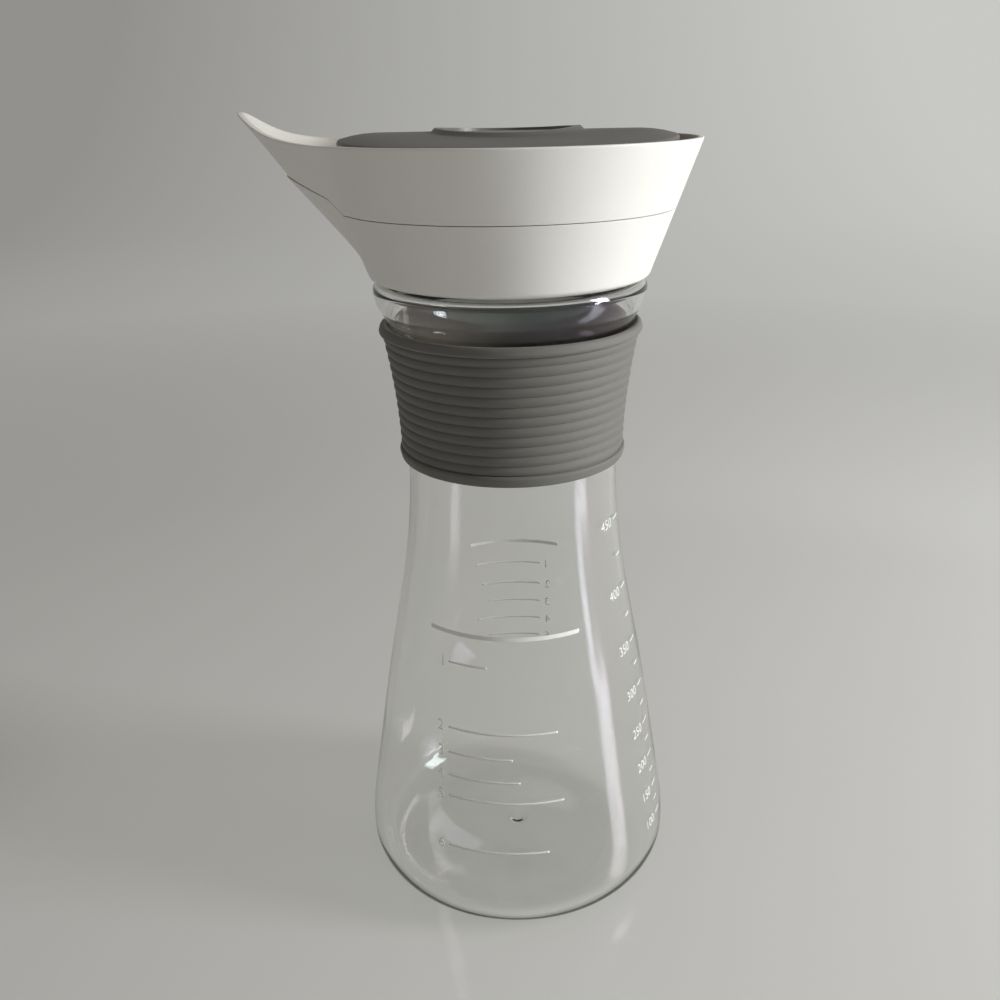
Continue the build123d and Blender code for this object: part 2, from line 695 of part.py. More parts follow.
def flap_carrier():
    """Plate clipped inside the cover, with a stiffening rib, two ears and the seal's post."""
    plate = disc(carrier_radius(), CARRIER_FOOT, CARRIER_TOP)
    rib_radius = carrier_radius() - CARRIER_RIB_INSET
    rib = ring(
        rib_radius - CARRIER_RIB_WALL,
        rib_radius,
        CARRIER_FOOT - CARRIER_RIB_DEPTH,
        CARRIER_FOOT + CARRIER_PLATE / 2,
    )
    knob_foot = SEAL_ROOF_FOOT - SEAL_GAP - SEAL_KNOB_HEIGHT
    post = disc(SEAL_POST_RADIUS, SEAL_TOP + SEAL_GAP, CARRIER_FOOT + CARRIER_PLATE / 2)
    post += disc(SEAL_NECK_RADIUS - SEAL_GAP, knob_foot, CARRIER_FOOT)
    post += disc(SEAL_KNOB_RADIUS, knob_foot, knob_foot + SEAL_KNOB_HEIGHT)
    pin_hole = bar_along_y(PIN_RADIUS + RUNNING_FIT, EAR_INNER_Y - MARGIN, EAR_OUTER_Y + MARGIN)
    return plate + rib + Pos(POUR_HOLE_X, 0, 0) * post + both_sides(hinge_ear()) - both_sides(pin_hole)


def flap_badge():
    """Plain round inlay in the middle of the cover, which follows its slopes."""
    plug = disc(BADGE_RADIUS, PLATE_FOOT, BADGE_TOP + MARGIN) & under_slopes(BADGE_TOP)
    return rounded_top(plug, BADGE_RADIUS, PLATE_FOOT, BADGE_EDGE_ROUND) - under_slopes(
        BADGE_TOP - BADGE_THICKNESS
    )


def all_parts():
    pin = hinge_pin()
    return {
        "bottle": bottle(),
        "grip_sleeve": grip_sleeve(),
        "neck_gasket": neck_gasket(),
        "screw_collar": screw_collar(),
        "pour_funnel": pour_funnel(),
        "hinge_pin_back": pin,
        "hinge_pin_front": mirror(pin, about=Plane.XZ),
        "flap_cover": flap_cover(),
        "flap_carrier": flap_carrier(),
        "flap_badge": flap_badge(),
        "pour_seal": pour_seal(),
    }


os.makedirs("parts", exist_ok=True)
for name, solid in all_parts().items():
    export_step(solid, f"parts/{name}.step")
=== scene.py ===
import math

import bmesh
import bpy
import numpy as np
from mathutils import Matrix, Vector


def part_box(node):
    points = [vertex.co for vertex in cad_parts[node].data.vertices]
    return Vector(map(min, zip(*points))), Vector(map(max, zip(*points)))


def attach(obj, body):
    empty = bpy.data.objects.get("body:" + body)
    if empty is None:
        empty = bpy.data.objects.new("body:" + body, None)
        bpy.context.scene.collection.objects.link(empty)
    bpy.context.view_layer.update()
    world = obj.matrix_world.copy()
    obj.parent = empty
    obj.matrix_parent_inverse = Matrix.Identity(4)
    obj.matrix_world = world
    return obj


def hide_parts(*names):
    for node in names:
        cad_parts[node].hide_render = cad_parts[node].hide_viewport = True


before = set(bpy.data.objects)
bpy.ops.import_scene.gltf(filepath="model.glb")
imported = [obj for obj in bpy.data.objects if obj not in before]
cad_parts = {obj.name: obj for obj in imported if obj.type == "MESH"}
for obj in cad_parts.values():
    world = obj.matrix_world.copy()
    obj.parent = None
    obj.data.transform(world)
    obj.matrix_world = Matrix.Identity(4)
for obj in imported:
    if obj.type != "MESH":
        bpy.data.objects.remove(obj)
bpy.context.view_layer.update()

# Salad dressing shaker. Sizes are in millimetres, and meshes are made in metres.
MM = 0.001
ROUND_STEPS = 240
CORNER_STEPS = 4
FIT_GAP = 0.05


def box_mm(node):
    """The lowest and the highest corner of a CAD node."""
    low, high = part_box(node)
    return low / MM, high / MM


# Sizes read from the frame
BOTTLE_HIGH = box_mm("bottle")[1]
SLEEVE_LOW, SLEEVE_HIGH = box_mm("grip_sleeve")
COLLAR_LOW = box_mm("screw_collar")[0]
FUNNEL_HIGH = box_mm("pour_funnel")[1]
COVER_LOW, COVER_HIGH = box_mm("flap_cover")
PIN_LOW, PIN_HIGH = box_mm("hinge_pin_back")
CARRIER_TOP = box_mm("flap_carrier")[1].z
BADGE_RADIUS = box_mm("flap_badge")[1].x
WIDEST_RADIUS = BOTTLE_HIGH.x
NECK_TOP = BOTTLE_HIGH.z
LID_FOOT = COLLAR_LOW.z
RIM_RADIUS = FUNNEL_HIGH.x
SPOUT_TOP = FUNNEL_HIGH.z

# Bottle body
HEEL_RADIUS = 11.4
PUSH_UP_RADIUS = 28.0
PUSH_UP_HEIGHT = 5.2
PUSH_UP_STEPS = 66
BOTTLE_WALL = 1.8
FLOOR_THICKNESS = 2.2
GATE_BOSS_RADIUS = 4.6
GATE_BOSS_HEIGHT = 1.2
GATE_SCAR_RADIUS = 2.4
GATE_SCAR_DEPTH = 0.7
SIDE_STATIONS = [(30.0, 42.5), (70.0, 35.8), (105.0, 29.6), (130.0, 28.1), (148.0, 29.3)]
SIDE_STEPS = 90
FLARE_SLOPE = 0.2
FLARE_LEAD = 1.0

# Bottle neck
NECK_RADIUS = 31.2
NECK_WALL = 1.8
NECK_ROUND = 0.6
FLARE_RADIUS = NECK_RADIUS + 1.4
FLARE_ROUND = 1.2
BEAD_RADIUS = NECK_RADIUS + 3.8
BEAD_HEIGHT = NECK_TOP - 18.3
BEAD_TOP = BEAD_HEIGHT + 2.7
BEAD_INNER_ROUND = 0.8
SHOULDER_ROUND = 1.2
FLARE_HEIGHT = BEAD_HEIGHT - 5.9
PLAIN_FOOT_END = BEAD_TOP + 1.0
THREADED_LOW = BEAD_TOP + 1.3
THREADED_HIGH = NECK_TOP - 1.6
THREADED_STEPS = 44
PLAIN_LIP_START = NECK_TOP - 1.4
THREAD_DEPTH = 1.2
THREAD_PITCH = 6.0
THREAD_TURNS = 1.25
THREAD_START = NECK_TOP - 10.5
THREAD_CLEARANCE = 0.3
THREAD_HALF_FOOT = 1.25
THREAD_FLANK = 0.75
THREAD_RUN_OUT = 0.06
LID_THREAD_START = THREAD_START - 1.9

# Grip sleeve
SLEEVE_THICKNESS = 1.7
SLEEVE_GROOVES = 13
SLEEVE_TOP_LIP = 2.1
SLEEVE_FOOT_BAND = 2.6
SLEEVE_LIP_INSET = 0.1
SLEEVE_LIP_ROUND = 0.7
SLEEVE_BAND_GAP = 0.45
SLEEVE_BAND_ROUND = 0.5
SLEEVE_INNER_STEPS = 30
RIB_DEPTH = 0.62
RIB_FULLNESS = 0.6
RIB_STEPS = 12

# Lid shells
COLLAR_BORE_RADIUS = NECK_RADIUS + THREAD_DEPTH + THREAD_CLEARANCE
COLLAR_RING_RADIUS = COLLAR_BORE_RADIUS + 1.8
LID_FOOT_RADIUS = COLLAR_RING_RADIUS + 0.8
LID_FOOT_ROUND = 1.5
RIM_HEIGHT = LID_FOOT + 32.5
CONE_SLOPE = (RIM_RADIUS - LID_FOOT_RADIUS) / (RIM_HEIGHT - LID_FOOT)
DECK_FOOT = NECK_TOP + 1.6
DECK_TOP = DECK_FOOT + 2.0
PARTING_HEIGHT = DECK_FOOT - 0.5
SHELL_GAP = 0.16
PARTING_ROUND = 0.12
NOSE_LEDGE = 0.3
COLLAR_WALL = 1.6
FUNNEL_WALL = 1.7
SKIRT_RADIUS = COLLAR_RING_RADIUS + FIT_GAP
SKIRT_WALL = 1.6
SKIRT_DEPTH = 6.0
SKIRT_ROOT = 0.5
SHELF_STEPS = 10
POUR_HOLE_X = -22.0
POUR_HOLE_RADIUS = 9.0
POUR_HOLE_ROUND = 0.4
POUR_HOLE_BORDER = 1.0
POUR_HOLE_STEPS = 96
BORE_PLAIN_END = 1.0
BORE_STEPS = 60
INSIDE_JOIN = 0.1
EDGE_ROUND = 0.3
LIP_ROUND = 0.45
DECK_ROUND = 1.2
# Painted shadow of the flap inside the lid: darkest nearer the axis than the first radius, gone by the
# second.
PAINTED_SHADOW_RADIUS = 46.0
UNSHADOWED_RADIUS = 53.0

# Spout
RIDGE_START = LID_FOOT + 5.5
NOTCH_HEIGHT = PARTING_HEIGHT + 8.6
NOTCH_OVERHANG = 9.9
SPOUT_OVERHANGS = [
    (RIDGE_START, 0.0),
    (NOTCH_HEIGHT, NOTCH_OVERHANG),
    (RIM_HEIGHT, 12.6),
    (SPOUT_TOP, 15.6),
]
SPOUT_ANGLE_AT_FOOT = 13.0
SPOUT_ANGLE_AT_RIM = 36.0
SPOUT_SIDE_HANDLE = 0.25
SPOUT_TIP_HANDLE = 0.45
TROUGH_INSET = 3.15
LIP_STATIONS = [(RIM_RADIUS + 3.2, RIM_HEIGHT + 0.7), (RIM_RADIUS + 13.2, RIM_HEIGHT + 3.7)]
LIP_CURVE_START = RIM_RADIUS - 5.8
LIP_END_SLOPE = 0.75
STEP_RISE = 3.8
STEP_START = -2.2
STEP_END = 1.5
NOSE_STEPS = 48
BACK_STEPS = 208
WALL_STEPS = 28

# Camera, fitted to the photograph
CAMERA_PLACE = (0.0, -262.7, 218.7)
CAMERA_PITCH = 21.72
CAMERA_YAW = 0.79
CAMERA_ROLL = -1.14
LENS = 36.6
SENSOR = 36.0

# Studio, in metres. Each lamp has a name, a place, a target, a width, a height and a power.
NEAREST_SEEN = 0.01
FLOOR_FLAT = 1.6
FLOOR_SWEEP = 1.1
FLOOR_END = 0.35
BACKDROP_START = 0.95
BACKDROP_HALF_WIDTH = 0.9
LAMPS = [
    ("window", (0.985, -0.17, 0.48), (0.0, 0.0, 0.14), 0.24, 0.56, 12.2),
    ("window_foot", (0.956, -0.292, 0.14), (0.0, 0.0, 0.12), 0.09, 0.14, 1.1),
]
LAMP_COLOUR = (0.98, 1.0, 1.0)
SKY_COLOUR = (0.62, 0.59, 0.55, 1.0)
SKY_STRENGTH = 0.45


def smooth_curve(stations, first_slope, last_slope):
    """A smooth function through (place, value) stations, with these slopes at its ends."""
    places, values = np.array(stations, float).T
    gaps = np.diff(places)
    rates = np.diff(values) / gaps
    count = len(places)
    system = np.zeros((count, count))
    target = np.zeros(count)
    system[0, 0] = system[-1, -1] = 1
    target[0], target[-1] = first_slope, last_slope
    for i in range(1, count - 1):
        before, after = 1 / gaps[i - 1], 1 / gaps[i]
        system[i, i - 1 : i + 2] = before, 2 * (before + after), after
        target[i] = 3 * (rates[i - 1] * before + rates[i] * after)
    slopes = np.linalg.solve(system, target)

    def curve(place):
        i = int(np.clip(np.searchsorted(places, place) - 1, 0, count - 2))
        t = (place - places[i]) / gaps[i]
        hold, turn = t * t * (3 - 2 * t), t * (1 - t)
        start, end = slopes[i] * gaps[i], slopes[i + 1] * gaps[i]
        return values[i] * (1 - hold) + values[i + 1] * hold + turn * (start * (1 - t) - end * t)

    return curve


def blended(place, low, high, low_value, high_value):
    """Straight-line interpolation, which runs on past both ends."""
    return low_value + (high_value - low_value) * (place - low) / (high - low)


def spread(start, end, steps):
    """Evenly spread values from start to end, both included."""
    return [start + (end - start) * i / steps for i in range(steps + 1)]


def rounded(corners):
    """Points through (radius, height, round) corners, with each corner but the ends rounded off."""
    points = [Vector(corners[0][:2])]
    for before, (radius, height, size), after in zip(corners, corners[1:], corners[2:]):
        here = Vector((radius, height))
        to_before = (Vector(before[:2]) - here).normalized()
        to_after = (Vector(after[:2]) - here).normalized()
        half = to_before.angle(to_after) / 2
        if size == 0 or half > math.radians(88):
            points.append(here)
            continue
        centre = here + (to_before + to_after).normalized() * (size / math.sin(half))
        start = here + to_before * (size / math.tan(half)) - centre
        end = here + to_after * (size / math.tan(half)) - centre
        for t in spread(0, 1, CORNER_STEPS):
            points.append(centre + start.slerp(end, t))
    points.append(Vector(corners[-1][:2]))
    return [tuple(p) for p in points]


def skin(rows, closed):
    """Points and faces of the surface over rows of points. A row of one point closes it to a tip."""
    points, starts, faces = [], [], []
    for row in rows:
        starts.append(len(points))
        points += row
    pairs = list(zip(range(len(rows)), range(1, len(rows))))
    if closed:
        pairs.append((len(rows) - 1, 0))
    for one, two in pairs:
        wide = max(len(rows[one]), len(rows[two]))
        for i in range(wide):
            j = (i + 1) % wide
            if len(rows[one]) == 1:
                faces.append((starts[one], starts[two] + j, starts[two] + i))
            elif len(rows[two]) == 1:
                faces.append((starts[one] + i, starts[one] + j, starts[two]))
            else:
                faces.append((starts[one] + i, starts[one] + j, starts[two] + j, starts[two] + i))
    return points, faces


def circle(radius, height, steps=ROUND_STEPS, centre_x=0.0):
    """A level ring of points, or one point on the axis."""
    if radius < MM:
        return [(centre_x, 0.0, height)]
    turns = [2 * math.pi * i / steps for i in range(steps)]
    return [(centre_x + radius * math.cos(a), radius * math.sin(a), height) for a in turns]


def made(name, points, faces, material, body, replaces=None):
    """A piece of the object from points in millimetres, riding on a body."""
    mesh = bpy.data.meshes.new(name)
    mesh.from_pydata([tuple(c * MM for c in p) for p in points], [], faces)
    cleaner = bmesh.new()
    cleaner.from_mesh(mesh)
    bmesh.ops.remove_doubles(cleaner, verts=cleaner.verts, dist=1e-7)
    bmesh.ops.recalc_face_normals(cleaner, faces=cleaner.faces)
    cleaner.to_mesh(mesh)
    cleaner.free()
    mesh.shade_smooth()
    mesh.materials.append(material)
    thing = bpy.data.objects.new(name, mesh)
    bpy.context.scene.collection.objects.link(thing)
    weighted = thing.modifiers.new("flat_faces_stay_flat", "WEIGHTED_NORMAL")
    weighted.keep_sharp = True
    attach(thing, body)
    if replaces:
        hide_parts(replaces)
    return thing


class Value:
    """A shader value or colour. Arithmetic on a value adds Math nodes."""

    def __init__(self, graph, socket):
        self.graph = graph
        self.socket = socket

    def math(self, operation, other):
        return self.graph.node("ShaderNodeMath", {"operation": operation}, {0: self, 1: other})

    def __add__(self, other):
        return self.math("ADD", other)

    def __sub__(self, other):
        return self.math("SUBTRACT", other)

    def __mul__(self, other):
        return self.math("MULTIPLY", other)

    __radd__ = __add__
    __rmul__ = __mul__


class Finish:
    """A material, built node by node."""

    def __init__(self, name):
        self.material = bpy.data.materials.new(name)
        self.material.use_nodes = True
        self.tree = self.material.node_tree
        self.tree.nodes.clear()
        self.place = self.node("ShaderNodeTexCoord", out="Object")

    def node(self, kind, settings=None, values=None, out=0):
        """Adds a node: its settings first, then its sockets' values or links. Gives one output."""
        node = self.tree.nodes.new(kind)
        for name, setting in (settings or {}).items():
            if name == "stops":
                self.set_stops(node.color_ramp, setting)
            else:
                setattr(node, name, setting)
        for name, value in (values or {}).items():
            socket = self.socket_of(node, name)
            if isinstance(value, Value):
                self.tree.links.new(value.socket, socket)
            else:
                socket.default_value = value
        return Value(self, node.outputs[out]) if node.outputs else None

    @staticmethod
    def socket_of(node, name):
        if isinstance(name, int):
            return node.inputs[name]
        return next(s for s in node.inputs if s.enabled and name in (s.name, s.identifier))

    @staticmethod
    def set_stops(ramp, stops):
        while len(ramp.elements) < len(stops):
            ramp.elements.new(1.0)
        for element, (place, value) in zip(ramp.elements, stops):
            element.position = place
            element.color = (value, value, value, 1.0)

    def noise(self, scale, detail=3.0, roughness=0.5, place=None):
        values = {"Vector": place or self.place, "Scale": scale, "Detail": detail, "Roughness": roughness}
        return self.node("ShaderNodeTexNoise", None, values)

    def ramp(self, value, *stops):
        return self.node("ShaderNodeValToRGB", {"stops": stops}, {"Fac": value})

    def between(self, share, first, second):
        """A colour that runs from the first to the second with the share."""
        first, second = [c if isinstance(c, Value) else (*c, 1.0) for c in (first, second)]
        values = {"Factor_Float": share, "A_Color": first, "B_Color": second}
        return self.node("ShaderNodeMix", {"data_type": "RGBA"}, values, out=2)

    def bump(self, height, depth):
        """A normal from a height of 0 to 1, whose real depth is in millimetres."""
        values = {"Strength": 1.0, "Distance": depth * MM, "Height": height}
        return self.node("ShaderNodeBump", None, values)

    def length(self, vector):
        return self.node("ShaderNodeVectorMath", {"operation": "LENGTH"}, {0: vector}, out="Value")

    def progress(self, value, start, end):
        """How far a value has come from start to end, held between 0 and 1."""
        values = {"Value": value, "From Min": start, "From Max": end}
        return self.node("ShaderNodeMapRange", None, values)

    def surface(self, **values):
        names = {name.replace("_", " "): value for name, value in values.items()}
        return self.node("ShaderNodeBsdfPrincipled", None, names)

    def finished(self, shader):
        self.node("ShaderNodeOutputMaterial", None, {"Surface": shader})
        return self.material


def moulded_plastic(name, colour, shade, roughness, grain=0.02):
    """Satin moulded plastic: a fine spark-eroded grain, faint flow shading and polished spots."""
    f = Finish(name)
    flow = f.noise(22.0, detail=2.0)
    fine = f.noise(2600.0, detail=2.0)
    wear = f.ramp(f.noise(70.0, detail=6.0, roughness=0.62), (0.42, 0.0), (0.72, 1.0))
    shader = f.surface(
        Base_Color=f.between(f.ramp(flow, (0.35, 0.0), (0.7, 1.0)), colour, shade),
        Roughness=roughness + fine * 0.06 - wear * 0.05,
        IOR=1.49,
        Normal=f.bump(fine, grain),
    )
    return f.finished(shader)


def stained_plastic(name, colour, painted_shadow):
    """The lid's inner faces: duller than the outside, painted darker than it as painted shade, and
    painted darker still near the flap as the flap's painted shadow.
    """
    f = Finish(name)
    fine = f.noise(2600.0, detail=2.0)
    flat = f.node("ShaderNodeVectorMath", {"operation": "MULTIPLY"}, {0: f.place, 1: (1.0, 1.0, 0.0)})
    # Painted shadow of the flap: the share runs from the dark painted shadow near the axis to the plain
    # inside colour farther out.
    cleaner = f.progress(f.length(flat), PAINTED_SHADOW_RADIUS * MM, UNSHADOWED_RADIUS * MM)
    shader = f.surface(
        Base_Color=f.between(cleaner, painted_shadow, colour),
        Roughness=0.42 + fine * 0.06,
        IOR=1.49,
        Normal=f.bump(fine, 0.02),
    )
    return f.finished(shader)


def clear_plastic():
    """Blown clear plastic: slightly wavy, with faint handling marks. Lamps shine through it."""
    f = Finish("clear_plastic")
    waves = f.noise(26.0, detail=1.0)
    marks = f.ramp(f.noise(340.0, detail=5.0, roughness=0.7), (0.58, 0.0), (0.82, 1.0))
    glass = f.surface(
        Base_Color=(0.965, 0.97, 0.962, 1.0),
        Roughness=0.015 + marks * 0.05,
        IOR=1.5,
        Transmission_Weight=1.0,
        Thin_Film_Thickness=520.0,
        Thin_Film_IOR=1.47,
        Normal=f.bump(waves, 0.09),
    )
    open_way = f.node("ShaderNodeBsdfTransparent", None, {"Color": (0.93, 0.935, 0.925, 1.0)})
    diffuse_ray = f.node("ShaderNodeLightPath", out="Is Diffuse Ray")
    shadow_ray = f.node("ShaderNodeLightPath", out="Is Shadow Ray")
    seen = f.node("ShaderNodeMixShader", None, {0: diffuse_ray, 1: glass, 2: open_way})
    return f.finished(f.node("ShaderNodeMixShader", None, {0: shadow_ray, 1: seen, 2: open_way}))


def grip_rubber(name, dark, light):
    """Soft matt rubber with a fine tooth and a little dust on it."""
    f = Finish(name)
    tooth = f.noise(1500.0, detail=3.0)
    cloud = f.noise(60.0, detail=3.0)
    dust = f.ramp(f.noise(900.0, detail=4.0, roughness=0.75), (0.66, 0.0), (0.78, 1.0))
    shader = f.surface(
        Base_Color=f.between(dust * 0.25, f.between(cloud, dark, light), (0.42, 0.41, 0.39)),
        Roughness=0.62 + cloud * 0.12,
        IOR=1.45,
        Sheen_Weight=0.12,
        Normal=f.bump(tooth, 0.03),
    )
    return f.finished(shader)


def soft_silicone():
    """Milky silicone of the gasket and the seal."""
    f = Finish("soft_silicone")
    cloud = f.noise(90.0, detail=2.0)
    shader = f.surface(
        Base_Color=f.between(cloud, (0.7, 0.7, 0.68), (0.8, 0.8, 0.78)),
        Roughness=0.42 + cloud * 0.1,
        IOR=1.43,
        Subsurface_Weight=0.3,
        Subsurface_Scale=0.002,
        Normal=f.bump(f.noise(1800.0), 0.01),
    )
    return f.finished(shader)


def pin_steel():
    """Drawn stainless wire, with fine lines along the pin."""
    f = Finish("pin_steel")
    stretched = f.node("ShaderNodeMapping", None, {"Vector": f.place, "Scale": (9.0, 0.4, 9.0)})
    lines = f.noise(900.0, detail=3.0, place=stretched)
    shader = f.surface(
        Base_Color=f.between(lines, (0.5, 0.5, 0.49), (0.68, 0.68, 0.66)),
        Metallic=1.0,
        Roughness=0.26 + lines * 0.14,
        Normal=f.bump(lines, 0.004),
    )
    return f.finished(shader)


def white_ink():
    """Screen-printed white ink, a little thin in places."""
    f = Finish("white_ink")
    thin = f.noise(1400.0, detail=3.0)
    shader = f.surface(
        Base_Color=f.between(thin, (0.8, 0.8, 0.79), (0.9, 0.9, 0.89)),
        Roughness=0.45 + thin * 0.1,
        Normal=f.bump(thin, 0.004),
    )
    return f.finished(shader)


def pale_floor():
    """Plain pale floor. Far from the object it runs out into a glowing backdrop, painted darker on the
    left and lighter on the right as painted window light.
    """
    f = Finish("pale_floor")
    cloud = f.noise(5.0, detail=3.0)
    floor = f.surface(
        Base_Color=f.between(cloud, (0.68, 0.675, 0.66), (0.72, 0.715, 0.7)),
        Roughness=0.1 + cloud * 0.05,
        IOR=1.6,
    )
    sideways = f.node("ShaderNodeSeparateXYZ", None, {"Vector": f.place}, out="X")
    # Painted light on the backdrop: its glow runs from dark on the left to bright on the right, as if lit
    # by a window at the right.
    painted_window_light = f.progress(sideways, -BACKDROP_HALF_WIDTH, BACKDROP_HALF_WIDTH)
    backdrop = f.surface(
        Base_Color=(0.0, 0.0, 0.0, 1.0),
        Roughness=1.0,
        Specular_IOR_Level=0.0,
        Emission_Color=f.between(painted_window_light, (0.285, 0.28, 0.268), (0.58, 0.58, 0.56)),
        Emission_Strength=1.0,
    )
    far = f.progress(f.length(f.place), FLOOR_END, BACKDROP_START)
    camera_ray = f.node("ShaderNodeLightPath", out="Is Camera Ray")
    glossy_ray = f.node("ShaderNodeLightPath", out="Is Glossy Ray")
    clear_ray = f.node("ShaderNodeLightPath", out="Is Transmission Ray")
    share = far * (camera_ray + glossy_ray + clear_ray)
    return f.finished(f.node("ShaderNodeMixShader", None, {0: share, 1: floor, 2: backdrop}))


CLEAR = clear_plastic()
RUBBER = grip_rubber("grip_rubber", (0.132, 0.128, 0.116), (0.16, 0.155, 0.142))
# Inner faces of the sleeve: a dark brown copy of the rubber, painted shade for the inside seen through
# the bottle.
RUBBER_INSIDE_PAINTED_SHADE = grip_rubber("grip_rubber_inside_painted_shade", (0.07, 0.056, 0.044), (0.095, 0.077, 0.061))
LID_PLASTIC = moulded_plastic("lid_plastic", (0.8, 0.785, 0.75), (0.83, 0.815, 0.785), 0.4)
# Inner faces of the lid: painted shade darker than the lid plastic, with a brown painted shadow around
# the flap.
LID_INSIDE_PAINTED_SHADE = stained_plastic("lid_plastic_inside_painted_shade", (0.64, 0.62, 0.575), (0.3, 0.262, 0.222))
FLAP_PLASTIC = moulded_plastic("flap_plastic", (0.125, 0.121, 0.114), (0.145, 0.141, 0.133), 0.46)
BADGE_PLASTIC = moulded_plastic("badge_plastic", (0.14, 0.136, 0.128), (0.155, 0.151, 0.143), 0.34, 0.01)
SILICONE = soft_silicone()
STEEL = pin_steel()
INK = white_ink()


side_outer = smooth_curve(
    [(HEEL_RADIUS, WIDEST_RADIUS), *SIDE_STATIONS, (FLARE_HEIGHT, FLARE_RADIUS)], 0.0, FLARE_SLOPE
)


def quarter(centre, size, first_angle, last_angle, steps=16):
    """Points on an arc in a half section."""
    angles = [math.radians(a) for a in spread(first_angle, last_angle, steps)]
    return [(centre[0] + size * math.cos(a), centre[1] + size * math.sin(a)) for a in angles]


def thread_ridge(turn, height, start):
    """How far the thread stands out at an angle and a height, from 0 to 1."""
    first = (height - start) / THREAD_PITCH - turn
    turns = turn + round(first)
    if not 0 <= turns <= THREAD_TURNS:
        return 0.0
    off = abs(height - start - turns * THREAD_PITCH)
    ridge = np.clip((THREAD_HALF_FOOT - off) / THREAD_FLANK, 0.0, 1.0)
    run = min(turns, THREAD_TURNS - turns) / THREAD_RUN_OUT
    return float(ridge * ridge * (3 - 2 * ridge)) * min(1.0, run)


def threaded_rows(turns, radius, heights, start, depth):
    """Rings of a neck or a bore with a point at each turn, pushed out by depth on the thread."""
    rows = []
    for height in heights:
        row = []
        for turn in turns:
            here = radius + depth * thread_ridge(turn, height, start)
            angle = 2 * math.pi * turn
            row.append((here * math.cos(angle), here * math.sin(angle), height))
        rows.append(row)
    return rows


def bulge(crest, end, steps=10):
    """Corners on an arc from a crest, where it runs upright, to an end nearer the axis."""
    inward = crest[0] - end[0]
    along = end[1] - crest[1]
    bend = (inward**2 + along**2) / (2 * inward)
    angles = spread(0.0, math.atan2(along, bend - inward), steps)
    return [(crest[0] - bend * (1 - math.cos(a)), crest[1] + bend * math.sin(a), 0) for a in angles]


def raised(points, radius, rise):
    """The points of a half section, raised to a smooth round hill on the axis."""
    shares = [max(0.0, 1 - (r / radius) ** 2) for r, _ in points]
    return [(r, z + rise * share * share) for (r, z), share in zip(points, shares)]


def pushed_up_foot(lift):
    """Points of the pushed-up foot from the axis out to the heel, lifted by a height."""
    flat = [(r, lift) for r in spread(0.0, WIDEST_RADIUS - HEEL_RADIUS, PUSH_UP_STEPS)]
    return raised(flat, PUSH_UP_RADIUS, PUSH_UP_HEIGHT)


def bottle():
    """Blown bottle: pushed-up foot, round heel, hourglass side, carrying bead and threaded neck."""
    heel_centre = WIDEST_RADIUS - HEEL_RADIUS
    shoulder = COLLAR_BORE_RADIUS + THREAD_CLEARANCE
    bore = NECK_RADIUS - NECK_WALL
    under = raised(pushed_up_foot(0.0), GATE_SCAR_RADIUS, -GATE_SCAR_DEPTH)
    heel = quarter((heel_centre, HEEL_RADIUS), HEEL_RADIUS, -90, 0)
    side = [(side_outer(z), z) for z in spread(HEEL_RADIUS, FLARE_HEIGHT - FLARE_LEAD, SIDE_STEPS)]
    crest = (BEAD_RADIUS, BEAD_HEIGHT)
    bead = rounded([
        (*side[-1], 0),
        (FLARE_RADIUS, FLARE_HEIGHT, FLARE_ROUND),
        *bulge(crest, (FLARE_RADIUS, FLARE_HEIGHT))[-2::-1],
        *bulge(crest, (shoulder, BEAD_TOP))[1:],
        (NECK_RADIUS, BEAD_TOP, NECK_ROUND),
        (NECK_RADIUS, PLAIN_FOOT_END, 0),
    ])
    even_turns = [i / ROUND_STEPS for i in range(ROUND_STEPS)]
    neck_heights = spread(THREADED_LOW, THREADED_HIGH, THREADED_STEPS)
    neck = threaded_rows(even_turns, NECK_RADIUS, neck_heights, THREAD_START, THREAD_DEPTH)
    inner_crest = (BEAD_RADIUS - BOTTLE_WALL, BEAD_HEIGHT)
    inner_flare = (FLARE_RADIUS - BOTTLE_WALL, FLARE_HEIGHT)
    shoulder_inside = BEAD_TOP - BOTTLE_WALL
    inner_heel = HEEL_RADIUS - BOTTLE_WALL
    inner_foot = FLOOR_THICKNESS + inner_heel
    inner_side = smooth_curve(
        [
            (inner_foot, WIDEST_RADIUS - BOTTLE_WALL),
            *[(z, r - BOTTLE_WALL) for z, r in SIDE_STATIONS],
            (FLARE_HEIGHT, FLARE_RADIUS - BOTTLE_WALL),
        ],
        0.0,
        FLARE_SLOPE,
    )
    inside = [(inner_side(z), z) for z in spread(FLARE_HEIGHT - FLARE_LEAD, inner_foot, SIDE_STEPS)]
    mouth = rounded([
        (NECK_RADIUS, PLAIN_LIP_START, 0),
        (NECK_RADIUS, NECK_TOP, NECK_ROUND),
        (bore, NECK_TOP, NECK_ROUND),
        (bore, shoulder_inside, SHOULDER_ROUND),
        (inner_crest[0], shoulder_inside, BEAD_INNER_ROUND),
        *bulge(inner_crest, inner_flare)[:-1],
        (*inner_flare, FLARE_ROUND),
        (*inside[0], 0),
    ])
    corner = quarter((heel_centre, inner_foot), inner_heel, 0, -90)
    floor = raised(pushed_up_foot(FLOOR_THICKNESS), GATE_BOSS_RADIUS, GATE_BOSS_HEIGHT)
    outer_rows = [circle(*p) for p in under[:-1] + heel + side[1:] + bead[1:]]
    inner_rows = [circle(*p) for p in mouth + inside[1:] + corner[1:] + floor[-2::-1]]
    points, faces = skin(outer_rows + neck + inner_rows, closed=False)
    made("bottle_clear", points, faces, CLEAR, "bottle_body", "bottle")


